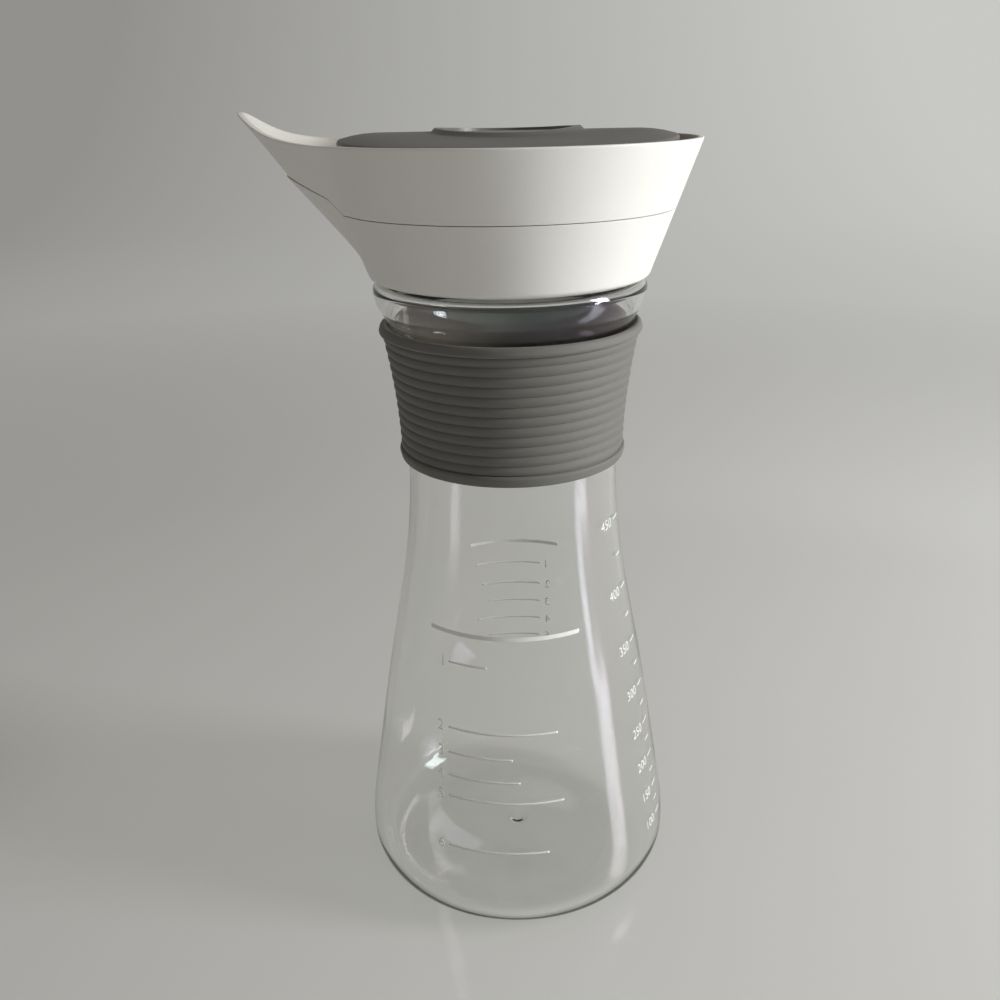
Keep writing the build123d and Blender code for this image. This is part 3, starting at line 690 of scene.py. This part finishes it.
def grip_sleeve():
    """Ribbed sleeve: round ribs with narrow grooves between them, and plain lips at both ends."""
    foot, top = SLEEVE_LOW.z, SLEEVE_HIGH.z
    first_groove = foot + SLEEVE_FOOT_BAND
    pitch = (top - SLEEVE_TOP_LIP - first_groove) / (SLEEVE_GROOVES - 1)

    def outside(height):
        return side_outer(height) + SLEEVE_THICKNESS

    ribs = []
    for height in spread(first_groove, top - SLEEVE_TOP_LIP, (SLEEVE_GROOVES - 1) * RIB_STEPS):
        swing = abs(math.sin(math.pi * (height - first_groove) / pitch))
        ribs.append((outside(height) - RIB_DEPTH * (1 - swing**RIB_FULLNESS), height))
    foot_lip = rounded([
        (side_outer(foot) + FIT_GAP, foot, 0),
        (outside(foot) - SLEEVE_LIP_INSET, foot, SLEEVE_LIP_ROUND),
        (outside(first_groove), first_groove - SLEEVE_BAND_GAP, SLEEVE_BAND_ROUND),
        (*ribs[0], 0),
    ])
    top_radius = outside(top) - SLEEVE_LIP_INSET
    top_lip = rounded([
        (*ribs[-1], 0),
        (top_radius, top - SLEEVE_TOP_LIP + SLEEVE_BAND_GAP, SLEEVE_BAND_ROUND),
        (top_radius, top, SLEEVE_LIP_ROUND),
        (side_outer(top) + FIT_GAP, top, 0),
    ])
    inside = [(side_outer(z) + FIT_GAP, z) for z in spread(top, foot, SLEEVE_INNER_STEPS)]
    profile = foot_lip[:-1] + ribs + top_lip[1:-1] + inside[:-1]
    points, faces = skin([circle(*p) for p in profile], closed=True)
    sleeve = made("grip_sleeve_ribbed", points, faces, RUBBER, "bottle_body", "grip_sleeve")
    # Faces toward the axis get the darker rubber as painted shade.
    line_inside(sleeve, RUBBER_INSIDE_PAINTED_SHADE, share=0.5)


def line_inside(thing, material, share):
    """Gives a second material to the faces that look toward the axis by at least this share."""
    thing.data.materials.append(material)
    for face in thing.data.polygons:
        if face.normal.xy.dot(face.center.xy) < -share * face.center.xy.length:
            face.material_index = 1


def cone_radius(height):
    """The radius of the lid's cone."""
    return LID_FOOT_RADIUS + CONE_SLOPE * (height - LID_FOOT)


def spout_overhang(height):
    """How far the spout's nose stands out from the cone."""
    places, values = zip(*SPOUT_OVERHANGS)
    return float(np.interp(height, places, values))


def lid_point(column, height, inset=0.0, spout_inset=None):
    """A point of the lid's level outline: round the back, and out along the spout's nose."""
    nose_inset = inset if spout_inset is None else spout_inset
    radius = cone_radius(height) - inset
    reach = cone_radius(height) + spout_overhang(height) - nose_inset
    angle = blended(height, LID_FOOT, RIM_HEIGHT, SPOUT_ANGLE_AT_FOOT, SPOUT_ANGLE_AT_RIM)
    angle = math.radians(angle)
    if column < BACK_STEPS:
        turn = math.pi + angle + 2 * (math.pi - angle) * column / BACK_STEPS
        return (radius * math.cos(turn), radius * math.sin(turn), height)
    share = (column - BACK_STEPS) / NOSE_STEPS
    side = 1.0 if share <= 1 else -1.0
    t = share if share <= 1 else 2 - share
    corner_x, corner_y = -radius * math.cos(angle), radius * math.sin(angle)
    handle = SPOUT_SIDE_HANDLE * corner_y
    controls = [
        (corner_x, corner_y),
        (corner_x - handle * math.sin(angle), corner_y - handle * math.cos(angle)),
        (-reach, SPOUT_TIP_HANDLE * corner_y),
        (-reach, 0.0),
    ]
    weights = [(1 - t) ** 3, 3 * t * (1 - t) ** 2, 3 * t * t * (1 - t), t**3]
    x = sum(w * c[0] for w, c in zip(weights, controls))
    y = sum(w * c[1] for w, c in zip(weights, controls))
    return (x, side * y, height)


COLUMNS = BACK_STEPS + 2 * NOSE_STEPS
lip_height = smooth_curve(
    [
        (LIP_CURVE_START, RIM_HEIGHT),
        *LIP_STATIONS,
        (cone_radius(SPOUT_TOP) + SPOUT_OVERHANGS[-1][1], SPOUT_TOP),
    ],
    0.0,
    LIP_END_SLOPE,
)


def rim_at(x):
    """The height of the rim, which rises along the spout."""
    return lip_height(-x) if -x > LIP_CURVE_START else RIM_HEIGHT


def parting_at(x):
    """The height of the line that parts the two shells, which steps up under the spout."""
    step_start = cone_radius(PARTING_HEIGHT) + STEP_START
    step_end = cone_radius(PARTING_HEIGHT) + STEP_END
    notch = cone_radius(NOTCH_HEIGHT) + NOTCH_OVERHANG
    if -x <= step_start:
        return PARTING_HEIGHT
    if -x <= step_end:
        return blended(-x, step_start, step_end, PARTING_HEIGHT, PARTING_HEIGHT + STEP_RISE)
    return blended(-x, step_end, notch, PARTING_HEIGHT + STEP_RISE, NOTCH_HEIGHT)


def meeting_height(column, line_at, low, high):
    """Where a column of the lid's outside meets a line given as a height at x."""
    for _ in range(40):
        middle = (low + high) / 2
        if line_at(lid_point(column, middle)[0]) > middle:
            low = middle
        else:
            high = middle
    return low


PARTING = [meeting_height(c, parting_at, LID_FOOT, SPOUT_TOP) for c in range(COLUMNS)]
RIM = [meeting_height(c, rim_at, PARTING_HEIGHT, SPOUT_TOP + 1) for c in range(COLUMNS)]


def lid_row(heights, inset=0.0, spout_inset=None):
    """A ring round the lid, with a height for each column or one for all."""
    if isinstance(heights, float):
        heights = [heights] * COLUMNS
    return [lid_point(c, heights[c], inset, spout_inset) for c in range(COLUMNS)]


def wall_rows(lows, highs, steps, insets=(0.0, 0.0), spout_insets=None):
    """Rings from the lows to the highs, with the insets running from the first to the second."""
    spout_insets = spout_insets or insets
    rows = []
    for share in spread(0.0, 1.0, steps):
        heights = [low + (high - low) * share for low, high in zip(lows, highs)]
        inset = blended(share, 0, 1, *insets)
        rows.append(lid_row(heights, inset, blended(share, 0, 1, *spout_insets)))
    return rows


def edge_rows(heights, inset, size, inward, upward, spout_inset=None):
    """Rings over a rounded edge, from the upright wall at an inset to its level end face."""
    spout_inset = inset if spout_inset is None else spout_inset
    rows = []
    for angle in spread(0.0, math.pi / 2, CORNER_STEPS):
        across = inward * size * (1 - math.cos(angle))
        along = upward * size * (1 - math.sin(angle))
        rows.append(lid_row([h - along for h in heights], inset + across, spout_inset + across))
    return rows


def foot_round_rows():
    """Rings over the round between the lid's level foot and its cone."""
    lean = math.atan(CONE_SLOPE)
    centre_height = LID_FOOT + LID_FOOT_ROUND
    centre_radius = cone_radius(centre_height) - LID_FOOT_ROUND / math.cos(lean)
    rows = []
    for turn in spread(-math.pi / 2, -lean, 2 * CORNER_STEPS):
        height = centre_height + LID_FOOT_ROUND * math.sin(turn)
        inset = cone_radius(height) - centre_radius - LID_FOOT_ROUND * math.cos(turn)
        rows.append(lid_row(height, inset))
    return rows


def as_circle(radius, height):
    """A round ring with the lid's columns, each in its own direction from the axis."""
    ring = []
    for x, y, _ in lid_row(DECK_FOOT):
        away = radius / math.hypot(x, y)
        ring.append((x * away, y * away, height))
    return ring


def screw_collar():
    """Lower shell: cone and spout root outside, threaded ring inside."""
    top = [h - SHELL_GAP / 2 for h in PARTING]
    outer_top = [h - PARTING_ROUND for h in top]
    rows = foot_round_rows()
    foot = [point[2] for point in rows[-1]]
    rows += wall_rows(foot, outer_top, WALL_STEPS, spout_insets=(0.0, -NOSE_LEDGE))[1:]
    rows += edge_rows(top, 0.0, PARTING_ROUND, 1, 1, -NOSE_LEDGE)[1:]
    rows += edge_rows(top, COLLAR_WALL, PARTING_ROUND, -1, 1)[::-1]
    meet = LID_FOOT + (COLLAR_RING_RADIUS + COLLAR_WALL - LID_FOOT_RADIUS) / CONE_SLOPE + INSIDE_JOIN
    rows += wall_rows(outer_top, [meet] * COLUMNS, WALL_STEPS, (COLLAR_WALL, COLLAR_WALL))[1:]
    ring_top = DECK_FOOT - FIT_GAP
    bore_top, bore_foot = ring_top - BORE_PLAIN_END, LID_FOOT + BORE_PLAIN_END
    for radius, height in rounded([
        (COLLAR_RING_RADIUS, meet + INSIDE_JOIN, 0),
        (COLLAR_RING_RADIUS, ring_top, EDGE_ROUND),
        (COLLAR_BORE_RADIUS, ring_top, EDGE_ROUND),
        (COLLAR_BORE_RADIUS, bore_top, 0),
    ]):
        rows.append(as_circle(radius, height))
    lid_turns = [math.atan2(y, x) / (2 * math.pi) % 1 for x, y, _ in rows[-1]]
    bore_heights = spread(bore_top, bore_foot, BORE_STEPS)[1:]
    rows += threaded_rows(lid_turns, COLLAR_BORE_RADIUS, bore_heights, LID_THREAD_START, -THREAD_DEPTH)
    for radius, height in rounded([
        (COLLAR_BORE_RADIUS, bore_foot, 0),
        (COLLAR_BORE_RADIUS, LID_FOOT, EDGE_ROUND),
        (COLLAR_RING_RADIUS, LID_FOOT, 0),
    ])[1:-1]:
        rows.append(as_circle(radius, height))
    points, faces = skin(rows, closed=True)
    made("screw_collar_shell", points, faces, LID_PLASTIC, "lid_body", "screw_collar")


def flat_ring(outer, inner):
    """Triangles that fill the level space between two loops of points."""
    filler = bmesh.new()
    edges = []
    for loop in (outer, inner):
        verts = [filler.verts.new(p) for p in loop]
        edges += [filler.edges.new(pair) for pair in zip(verts, verts[1:] + verts[:1])]
    bmesh.ops.triangle_fill(filler, use_beauty=True, use_dissolve=False, edges=edges)
    filler.verts.index_update()
    points = [tuple(v.co) for v in filler.verts]
    faces = [tuple(v.index for v in face.verts) for face in filler.faces]
    filler.free()
    return points, faces


def joined(*shapes):
    """Several point and face lists as one."""
    points, faces = [], []
    for more_points, more_faces in shapes:
        start = len(points)
        points += more_points
        faces += [tuple(start + i for i in face) for face in more_faces]
    return points, faces


def pour_funnel():
    """Upper shell: rim and spout, the deck with its pour hole, and the skirt that clips on the collar."""
    foot = [h + SHELL_GAP / 2 for h in PARTING]
    outer_foot = [h + PARTING_ROUND for h in foot]
    rim_edge = [h - LIP_ROUND for h in RIM]
    nose_shelf = COLLAR_WALL + FIT_GAP
    hole_edge = rounded([
        (POUR_HOLE_RADIUS, DECK_FOOT, 0),
        (POUR_HOLE_RADIUS, DECK_TOP, POUR_HOLE_ROUND),
        (POUR_HOLE_RADIUS + POUR_HOLE_BORDER, DECK_TOP, 0),
    ])
    hole = [circle(radius, height, POUR_HOLE_STEPS, POUR_HOLE_X) for radius, height in hole_edge]
    rows = [as_circle(SKIRT_RADIUS, DECK_FOOT)]
    for radius, height in rounded([
        (SKIRT_RADIUS, DECK_FOOT - SKIRT_ROOT, 0),
        (SKIRT_RADIUS, DECK_FOOT - SKIRT_DEPTH, EDGE_ROUND),
        (SKIRT_RADIUS + SKIRT_WALL, DECK_FOOT - SKIRT_DEPTH, EDGE_ROUND),
        (SKIRT_RADIUS + SKIRT_WALL, DECK_FOOT - SKIRT_ROOT, 0),
    ]):
        rows.append(as_circle(radius, height))
    rows.append(as_circle(SKIRT_RADIUS + SKIRT_WALL, DECK_FOOT))
    rows += wall_rows([DECK_FOOT] * COLUMNS, foot, SHELF_STEPS, (nose_shelf, nose_shelf))
    rows += edge_rows(foot, 0.0, PARTING_ROUND, 1, -1, NOSE_LEDGE)[::-1]
    rows += wall_rows(outer_foot, rim_edge, WALL_STEPS, spout_insets=(NOSE_LEDGE, 0.0))[1:]
    rows += edge_rows(RIM, 0.0, LIP_ROUND, 1, 1)[1:]
    rows += edge_rows(RIM, FUNNEL_WALL, LIP_ROUND, -1, 1)[::-1]
    rows += inner_wall_rows(rim_edge)
    deck = flat_ring(rows[-1], hole[-1])
    under = flat_ring(rows[0], hole[0])
    points, faces = joined(skin(rows, closed=False), skin(hole, closed=False), deck, under, *hinge_lugs())
    funnel = made("pour_funnel_shell", points, faces, LID_PLASTIC, "lid_body", "pour_funnel")
    # Faces toward the axis get the lid's inside material, with its painted shade and painted shadow.
    line_inside(funnel, LID_INSIDE_PAINTED_SHADE, share=0.35)


def inner_wall_rows(tops):
    """Rings down the inside of the funnel, from the rim to the deck's rounded corner."""
    rows = []
    for share in spread(0.0, 1.0, WALL_STEPS):
        heights = [top + (DECK_TOP + DECK_ROUND - top) * share for top in tops]
        ring = []
        for column, height in enumerate(heights):
            deeper = np.clip((RIM_HEIGHT - height) / (RIM_HEIGHT - NOTCH_HEIGHT), 0.0, 1.0)
            spout_inset = blended(float(deeper), 0, 1, FUNNEL_WALL, TROUGH_INSET)
            ring.append(lid_point(column, height, FUNNEL_WALL, spout_inset))
        rows.append(ring)
    for angle in spread(0.0, math.pi / 2, CORNER_STEPS)[1:]:
        more = DECK_ROUND * (1 - math.cos(angle))
        height = DECK_TOP + DECK_ROUND * (1 - math.sin(angle))
        rows.append(lid_row(height, FUNNEL_WALL + more, TROUGH_INSET + more))
    return rows


# Hinge lugs
PIVOT_X = (PIN_LOW.x + PIN_HIGH.x) / 2
PIVOT_HEIGHT = (PIN_LOW.z + PIN_HIGH.z) / 2
EYE_RADIUS = 2.6
EYE_PAST_LEVEL = 12.0
EYE_STEPS = 24
LUG_INNER_Y = RIM_RADIUS - 24.7
LUG_THICKNESS = 2.4
LUG_HALF_BASE = 4.5
LUG_BEVEL = 0.35
LUG_ROOT = DECK_TOP - 0.3


def hinge_lugs():
    """Two upright lugs on the deck, each tapering to the round eye that holds a pin."""
    def outline(shrink):
        size = EYE_RADIUS - shrink
        eye = quarter((PIVOT_X, PIVOT_HEIGHT), size, -EYE_PAST_LEVEL, 180 + EYE_PAST_LEVEL, EYE_STEPS)
        base = LUG_HALF_BASE - shrink
        return eye + [(PIVOT_X - base, LUG_ROOT), (PIVOT_X + base, LUG_ROOT)]

    shapes = []
    for side in (1, -1):
        inner, outer = side * LUG_INNER_Y, side * (LUG_INNER_Y + LUG_THICKNESS)
        inset = side * LUG_BEVEL
        stations = [(LUG_BEVEL, inner), (0, inner + inset), (0, outer - inset), (LUG_BEVEL, outer)]
        rows = [[(x, y, z) for x, z in outline(shrink)] for shrink, y in stations]
        points, faces = skin(rows, closed=False)
        wide = len(rows[0])
        faces.append(tuple(range(wide)))
        faces.append(tuple(range(len(points) - wide, len(points))))
        shapes.append((points, faces))
    return shapes


# Rocking flap. Its top slopes down on both sides of a soft ridge in line with the spout.
FLAP_RADIUS = RIM_RADIUS - 5.3
FLAP_RIDGE_TOP = COVER_HIGH.z - 0.4
FLAP_FOOT = COVER_LOW.z
FLAP_RIDGE_HALF_WIDTH = 10.0
FLAP_SIDE_DROP = 2.2
FLAP_SLOPE = FLAP_SIDE_DROP / (FLAP_RADIUS - FLAP_RIDGE_HALF_WIDTH / 2)
FLAP_END_START = 32.0
FLAP_END_DROP = 1.5
FLAP_SIDE_DRAFT = 1.5
FLAP_EDGE_ROUND = 1.0
FLAP_PLATE = 2.0
FLAP_SIDE_WALL = 1.4
FLAP_SNAP = 0.4
FLAP_FOOT_ROUND = 0.4
FLAP_INNER_ROUND = 0.3
FLAP_TOP_START = 1.0
FLAP_TOP_END = 4.0
FLAP_TOP_STEPS = 8
CARRIER_FOOT = CARRIER_TOP - 1.2
RECESS_ROUND = 0.15
BADGE_TOP = FLAP_RIDGE_TOP + 0.05
BADGE_THICKNESS = 1.05
BADGE_GAP = 0.15
BADGE_BORDER = 1.5
BADGE_BORDER_FALL = 0.5
BADGE_DISH = 0.16
BADGE_ROUND = 0.25
BADGE_FOOT_ROUND = 0.1


def slope_drop(y):
    """How far the flap's top lies under its ridge at a distance across it."""
    if abs(y) < FLAP_RIDGE_HALF_WIDTH:
        return FLAP_SLOPE * y * y / (2 * FLAP_RIDGE_HALF_WIDTH)
    return FLAP_SLOPE * (abs(y) - FLAP_RIDGE_HALF_WIDTH / 2)


def end_drop(radius, across):
    """How much farther the flap's top falls near its front and rear ends."""
    share = max(0.0, (radius - FLAP_END_START) / (FLAP_RADIUS - FLAP_END_START))
    return FLAP_END_DROP * share * share * (1 - across * across)


def flap_side(height):
    """The radius of the cover's drafted side."""
    return blended(height, FLAP_RIDGE_TOP, FLAP_FOOT, FLAP_RADIUS, FLAP_RADIUS - FLAP_SIDE_DRAFT)


def sloped_rows(half_section):
    """Rings through the half sections that a function gives for each direction from the axis."""
    columns = []
    for x, y, _ in circle(1.0, 0.0):
        columns.append([(r * x, r * y, z) for r, z in half_section(y)])
    rows = [list(row) for row in zip(*columns)]
    return [row[:1] if math.hypot(*row[0][:2]) < MM else row for row in rows]


def flap_cover():
    """Round cover: two slopes and a soft edge on top, a drafted side and a recess for the badge."""
    wall_inner = flap_side(CARRIER_FOOT) - FLAP_SIDE_WALL
    snap_height = CARRIER_FOOT - FIT_GAP
    recess = BADGE_RADIUS + FIT_GAP
    top_places = spread(recess + FLAP_TOP_START, FLAP_RADIUS - FLAP_TOP_END, FLAP_TOP_STEPS)

    def half_section(across):
        def under(drop, radius, size=0.0):
            below = drop + slope_drop(radius * across) + end_drop(radius, across)
            return (radius, FLAP_RIDGE_TOP - below, size)

        floor_drop = FLAP_RIDGE_TOP - BADGE_TOP + BADGE_THICKNESS + FIT_GAP
        edge = FLAP_RADIUS
        for _ in range(4):
            edge = flap_side(under(0.0, edge)[1])
        return rounded([
            *[under(floor_drop, radius) for radius in (0.0, 5.0, 10.0, 15.0)],
            under(floor_drop, recess, RECESS_ROUND),
            under(0.0, recess, RECESS_ROUND),
            *[under(0.0, radius) for radius in top_places],
            under(0.0, edge, FLAP_EDGE_ROUND),
            (flap_side(FLAP_FOOT), FLAP_FOOT, FLAP_FOOT_ROUND),
            (wall_inner, FLAP_FOOT, FLAP_INNER_ROUND),
            (wall_inner - FLAP_SNAP, snap_height, 0),
            (wall_inner, snap_height, 0),
            under(FLAP_PLATE, wall_inner, FLAP_INNER_ROUND),
            *[under(FLAP_PLATE, radius) for radius in (30.0, 20.0, 10.0, 0.0)],
        ])

    points, faces = skin(sloped_rows(half_section), closed=False)
    made("flap_cover_disc", points, faces, FLAP_PLASTIC, "flap_body", "flap_cover")


def flap_badge():
    """Bare round inlay that follows the slopes: a soft edge, a narrow border and a shallow dish."""
    radius = BADGE_RADIUS - BADGE_GAP
    border = radius - BADGE_BORDER

    def half_section(across):
        def under(drop, place, size=0.0):
            return (place, BADGE_TOP - drop - slope_drop(place * across), size)

        return rounded([
            *[under(BADGE_THICKNESS, place) for place in (0.0, 5.0, 10.0, 15.0)],
            under(BADGE_THICKNESS, radius, BADGE_FOOT_ROUND),
            under(0.0, radius, BADGE_ROUND),
            under(0.0, border, BADGE_ROUND),
            under(BADGE_DISH, border - BADGE_BORDER_FALL, BADGE_ROUND),
            *[under(BADGE_DISH, place) for place in (13.0, 10.0, 7.5, 5.0, 2.5, 0.0)],
        ])

    points, faces = skin(sloped_rows(half_section), closed=False)
    made("flap_badge_plain", points, faces, BADGE_PLASTIC, "flap_body", "flap_badge")


# White print on the bottle. Each plain line has a height and a length, and the first is a heading.
INK_RISE = 0.02
INK_THICKNESS = 0.05
SCALE_AZIMUTH = 67.5
SCALE_FIRST, SCALE_LAST, SCALE_STEP = 100, 450, 25
NUMBER_HEIGHT = 2.7
NUMBER_GAP = 1.6
LONGEST_LETTER_EDGE = 0.16
TICK_WIDTH = 0.42
TICK_LENGTH = 4.2
MINOR_TICK_SHARE = 0.75
HEADING_WIDTH = 1.1
LINE_WIDTH = 0.6
LINE_INDENT = 6.0
LINE_NUMBER_HEIGHT = 3.0
FRONT_AZIMUTH, BACK_AZIMUTH = -6.0, 180.0
FRONT_LINES = [(88, 42), (80, 11), (62, 30), (55, 18), (48.5, 20), (42.5, 32), (28, 28)]
BACK_LINES = [(88, 30), (80, 22), (72, 20), (65, 18), (58, 22), (51, 18)]


def fill_heights(volumes):
    """The heights that these volumes in millilitres reach inside the bottle."""
    heights = np.linspace(FLOOR_THICKNESS, FLARE_HEIGHT, 4000)
    radii = np.array([side_outer(max(h, HEEL_RADIUS)) - BOTTLE_WALL for h in heights])
    corner = np.clip(HEEL_RADIUS - heights, 0, HEEL_RADIUS - FLOOR_THICKNESS)
    inner_heel = HEEL_RADIUS - BOTTLE_WALL
    radii -= inner_heel - np.sqrt(np.maximum(inner_heel**2 - corner**2, 0))
    held = np.cumsum(math.pi * radii**2) * (heights[1] - heights[0]) / 1000
    return [float(np.interp(volume, held, heights)) for volume in volumes]


def on_side(azimuth, across, height, rise):
    """A point on the bottle's side: across is along its round from an azimuth, 0 at the front."""
    radius = side_outer(height) + rise
    angle = math.radians(azimuth) + across / side_outer(height)
    return (radius * math.sin(angle), -radius * math.cos(angle), height)


def rule(azimuth, left, right, height, width=TICK_WIDTH):
    """A level printed line, as a thin closed strip."""
    steps = max(4, int(abs(right - left) * 2))
    low, high = INK_RISE, INK_RISE + INK_THICKNESS
    corners = [(-width / 2, low), (width / 2, low), (width / 2, high), (-width / 2, high)]
    rows = []
    for across in spread(left, right, steps):
        rows.append([on_side(azimuth, across, height + up, rise) for up, rise in corners])
    points, faces = skin(rows, closed=False)
    faces += [(0, 1, 2, 3), tuple(len(points) - 4 + i for i in range(4))]
    return points, faces


def number(text, azimuth, right, height, size):
    """Plain digits wrapped round the bottle, ending at right and centred on a height."""
    letters = bpy.data.curves.new(text, "FONT")
    letters.body = text
    letters.resolution_u = 4
    thing = bpy.data.objects.new(text, letters)
    bpy.context.scene.collection.objects.link(thing)
    flat = bpy.data.meshes.new_from_object(thing)
    bpy.data.objects.remove(thing)
    bm = bmesh.new()
    bm.from_mesh(flat)
    for _ in range(2):
        long_edges = [e for e in bm.edges if e.calc_length() > LONGEST_LETTER_EDGE]
        bmesh.ops.subdivide_edges(bm, edges=long_edges, cuts=1)
    bmesh.ops.triangulate(bm, faces=bm.faces)
    widest = max(v.co.x for v in bm.verts)
    tall = max(v.co.y for v in bm.verts)
    lifted = bmesh.ops.extrude_face_region(bm, geom=bm.faces[:])
    upper = {v for v in lifted["geom"] if isinstance(v, bmesh.types.BMVert)}
    bm.verts.index_update()
    points = []
    for vert in bm.verts:
        across = right + (vert.co.x - widest) * size / tall
        up = height + (vert.co.y - tall / 2) * size / tall
        points.append(on_side(azimuth, across, up, INK_RISE + (INK_THICKNESS if vert in upper else 0)))
    faces = [tuple(v.index for v in face.verts) for face in bm.faces]
    bm.free()
    return points, faces


def scale_print():
    """The millilitre scale: a mark each 25, and a plain number at each 50."""
    volumes = range(SCALE_FIRST, SCALE_LAST + 1, SCALE_STEP)
    shapes = []
    for volume, height in zip(volumes, fill_heights(volumes)):
        major = volume % (2 * SCALE_STEP) == 0
        tick = TICK_LENGTH * (1 if major else MINOR_TICK_SHARE)
        shapes.append(rule(SCALE_AZIMUTH, 0.0, tick, height))
        if major:
            shapes.append(number(str(volume), SCALE_AZIMUTH, -NUMBER_GAP, height, NUMBER_HEIGHT))
    points, faces = joined(*shapes)
    made("scale_print", points, faces, INK, "bottle_body")


def line_print(name, azimuth, lines):
    """A plain set of fill lines with small numbers, such as parts of a recipe."""
    (top, widest), *others = lines
    left = LINE_INDENT - widest / 2
    shapes = [rule(azimuth, -widest / 2, widest / 2, top, HEADING_WIDTH)]
    for index, (height, length) in enumerate(others):
        shapes.append(rule(azimuth, left, left + length, height, LINE_WIDTH))
        shapes.append(number(str(index + 1), azimuth, left - NUMBER_GAP, height, LINE_NUMBER_HEIGHT))
    points, faces = joined(*shapes)
    made(name, points, faces, INK, "bottle_body")


def dress_cad_nodes():
    """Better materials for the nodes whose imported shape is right."""
    finishes = {
        "flap_carrier": LID_PLASTIC,
        "pour_seal": SILICONE,
        "neck_gasket": SILICONE,
        "hinge_pin_back": STEEL,
        "hinge_pin_front": STEEL,
    }
    for name, material in finishes.items():
        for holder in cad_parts[name].material_slots:
            holder.material = material


def studio():
    """Pale floor that sweeps up into a backdrop all round, soft window lamps and an even sky."""
    profile = [(0.0, 0.0), (FLOOR_FLAT / 2, 0.0)]
    profile += quarter((FLOOR_FLAT, FLOOR_SWEEP), FLOOR_SWEEP, -90, -5, 40)
    points, faces = skin([circle(r / MM, z / MM, 120) for r, z in profile], closed=False)
    mesh = bpy.data.meshes.new("floor")
    mesh.from_pydata([tuple(c * MM for c in p) for p in points], [], faces)
    mesh.shade_smooth()
    mesh.materials.append(pale_floor())
    floor = bpy.data.objects.new("floor", mesh)
    bpy.context.scene.collection.objects.link(floor)
    for settings in LAMPS:
        lamp(*settings)
    world = bpy.data.worlds.new("studio")
    bpy.context.scene.world = world
    world.use_nodes = True
    background = world.node_tree.nodes["Background"]
    background.inputs["Color"].default_value = SKY_COLOUR
    background.inputs["Strength"].default_value = SKY_STRENGTH


def lamp(name, place, target, wide, high, power):
    """A soft rectangular lamp that faces a target."""
    light = bpy.data.lights.new(name, "AREA")
    light.shape = "RECTANGLE"
    light.size, light.size_y = wide, high
    light.energy = power
    light.color = LAMP_COLOUR
    holder = bpy.data.objects.new(name, light)
    holder.location = place
    holder.rotation_euler = (Vector(target) - Vector(place)).to_track_quat("-Z", "Y").to_euler()
    holder.visible_camera = False
    bpy.context.scene.collection.objects.link(holder)


def camera():
    """The camera at the photograph's place and angle."""
    data = bpy.data.cameras.new("camera")
    data.lens = LENS
    data.sensor_width = SENSOR
    data.clip_start = NEAREST_SEEN
    holder = bpy.data.objects.new("camera", data)
    holder.location = Vector(CAMERA_PLACE) * MM
    turn = Matrix.Rotation(math.radians(CAMERA_YAW), 3, "Z")
    pitch = Matrix.Rotation(math.radians(90 - CAMERA_PITCH), 3, "X")
    roll = Matrix.Rotation(math.radians(CAMERA_ROLL), 3, "Z")
    holder.rotation_euler = (turn @ pitch @ roll).to_euler()
    bpy.context.scene.collection.objects.link(holder)
    bpy.context.scene.camera = holder


bottle()
grip_sleeve()
screw_collar()
pour_funnel()
flap_cover()
flap_badge()
scale_print()
line_print("front_lines", FRONT_AZIMUTH, FRONT_LINES)
line_print("back_lines", BACK_AZIMUTH, BACK_LINES)
dress_cad_nodes()
studio()
camera()
bpy.context.scene.view_settings.view_transform = "Standard"
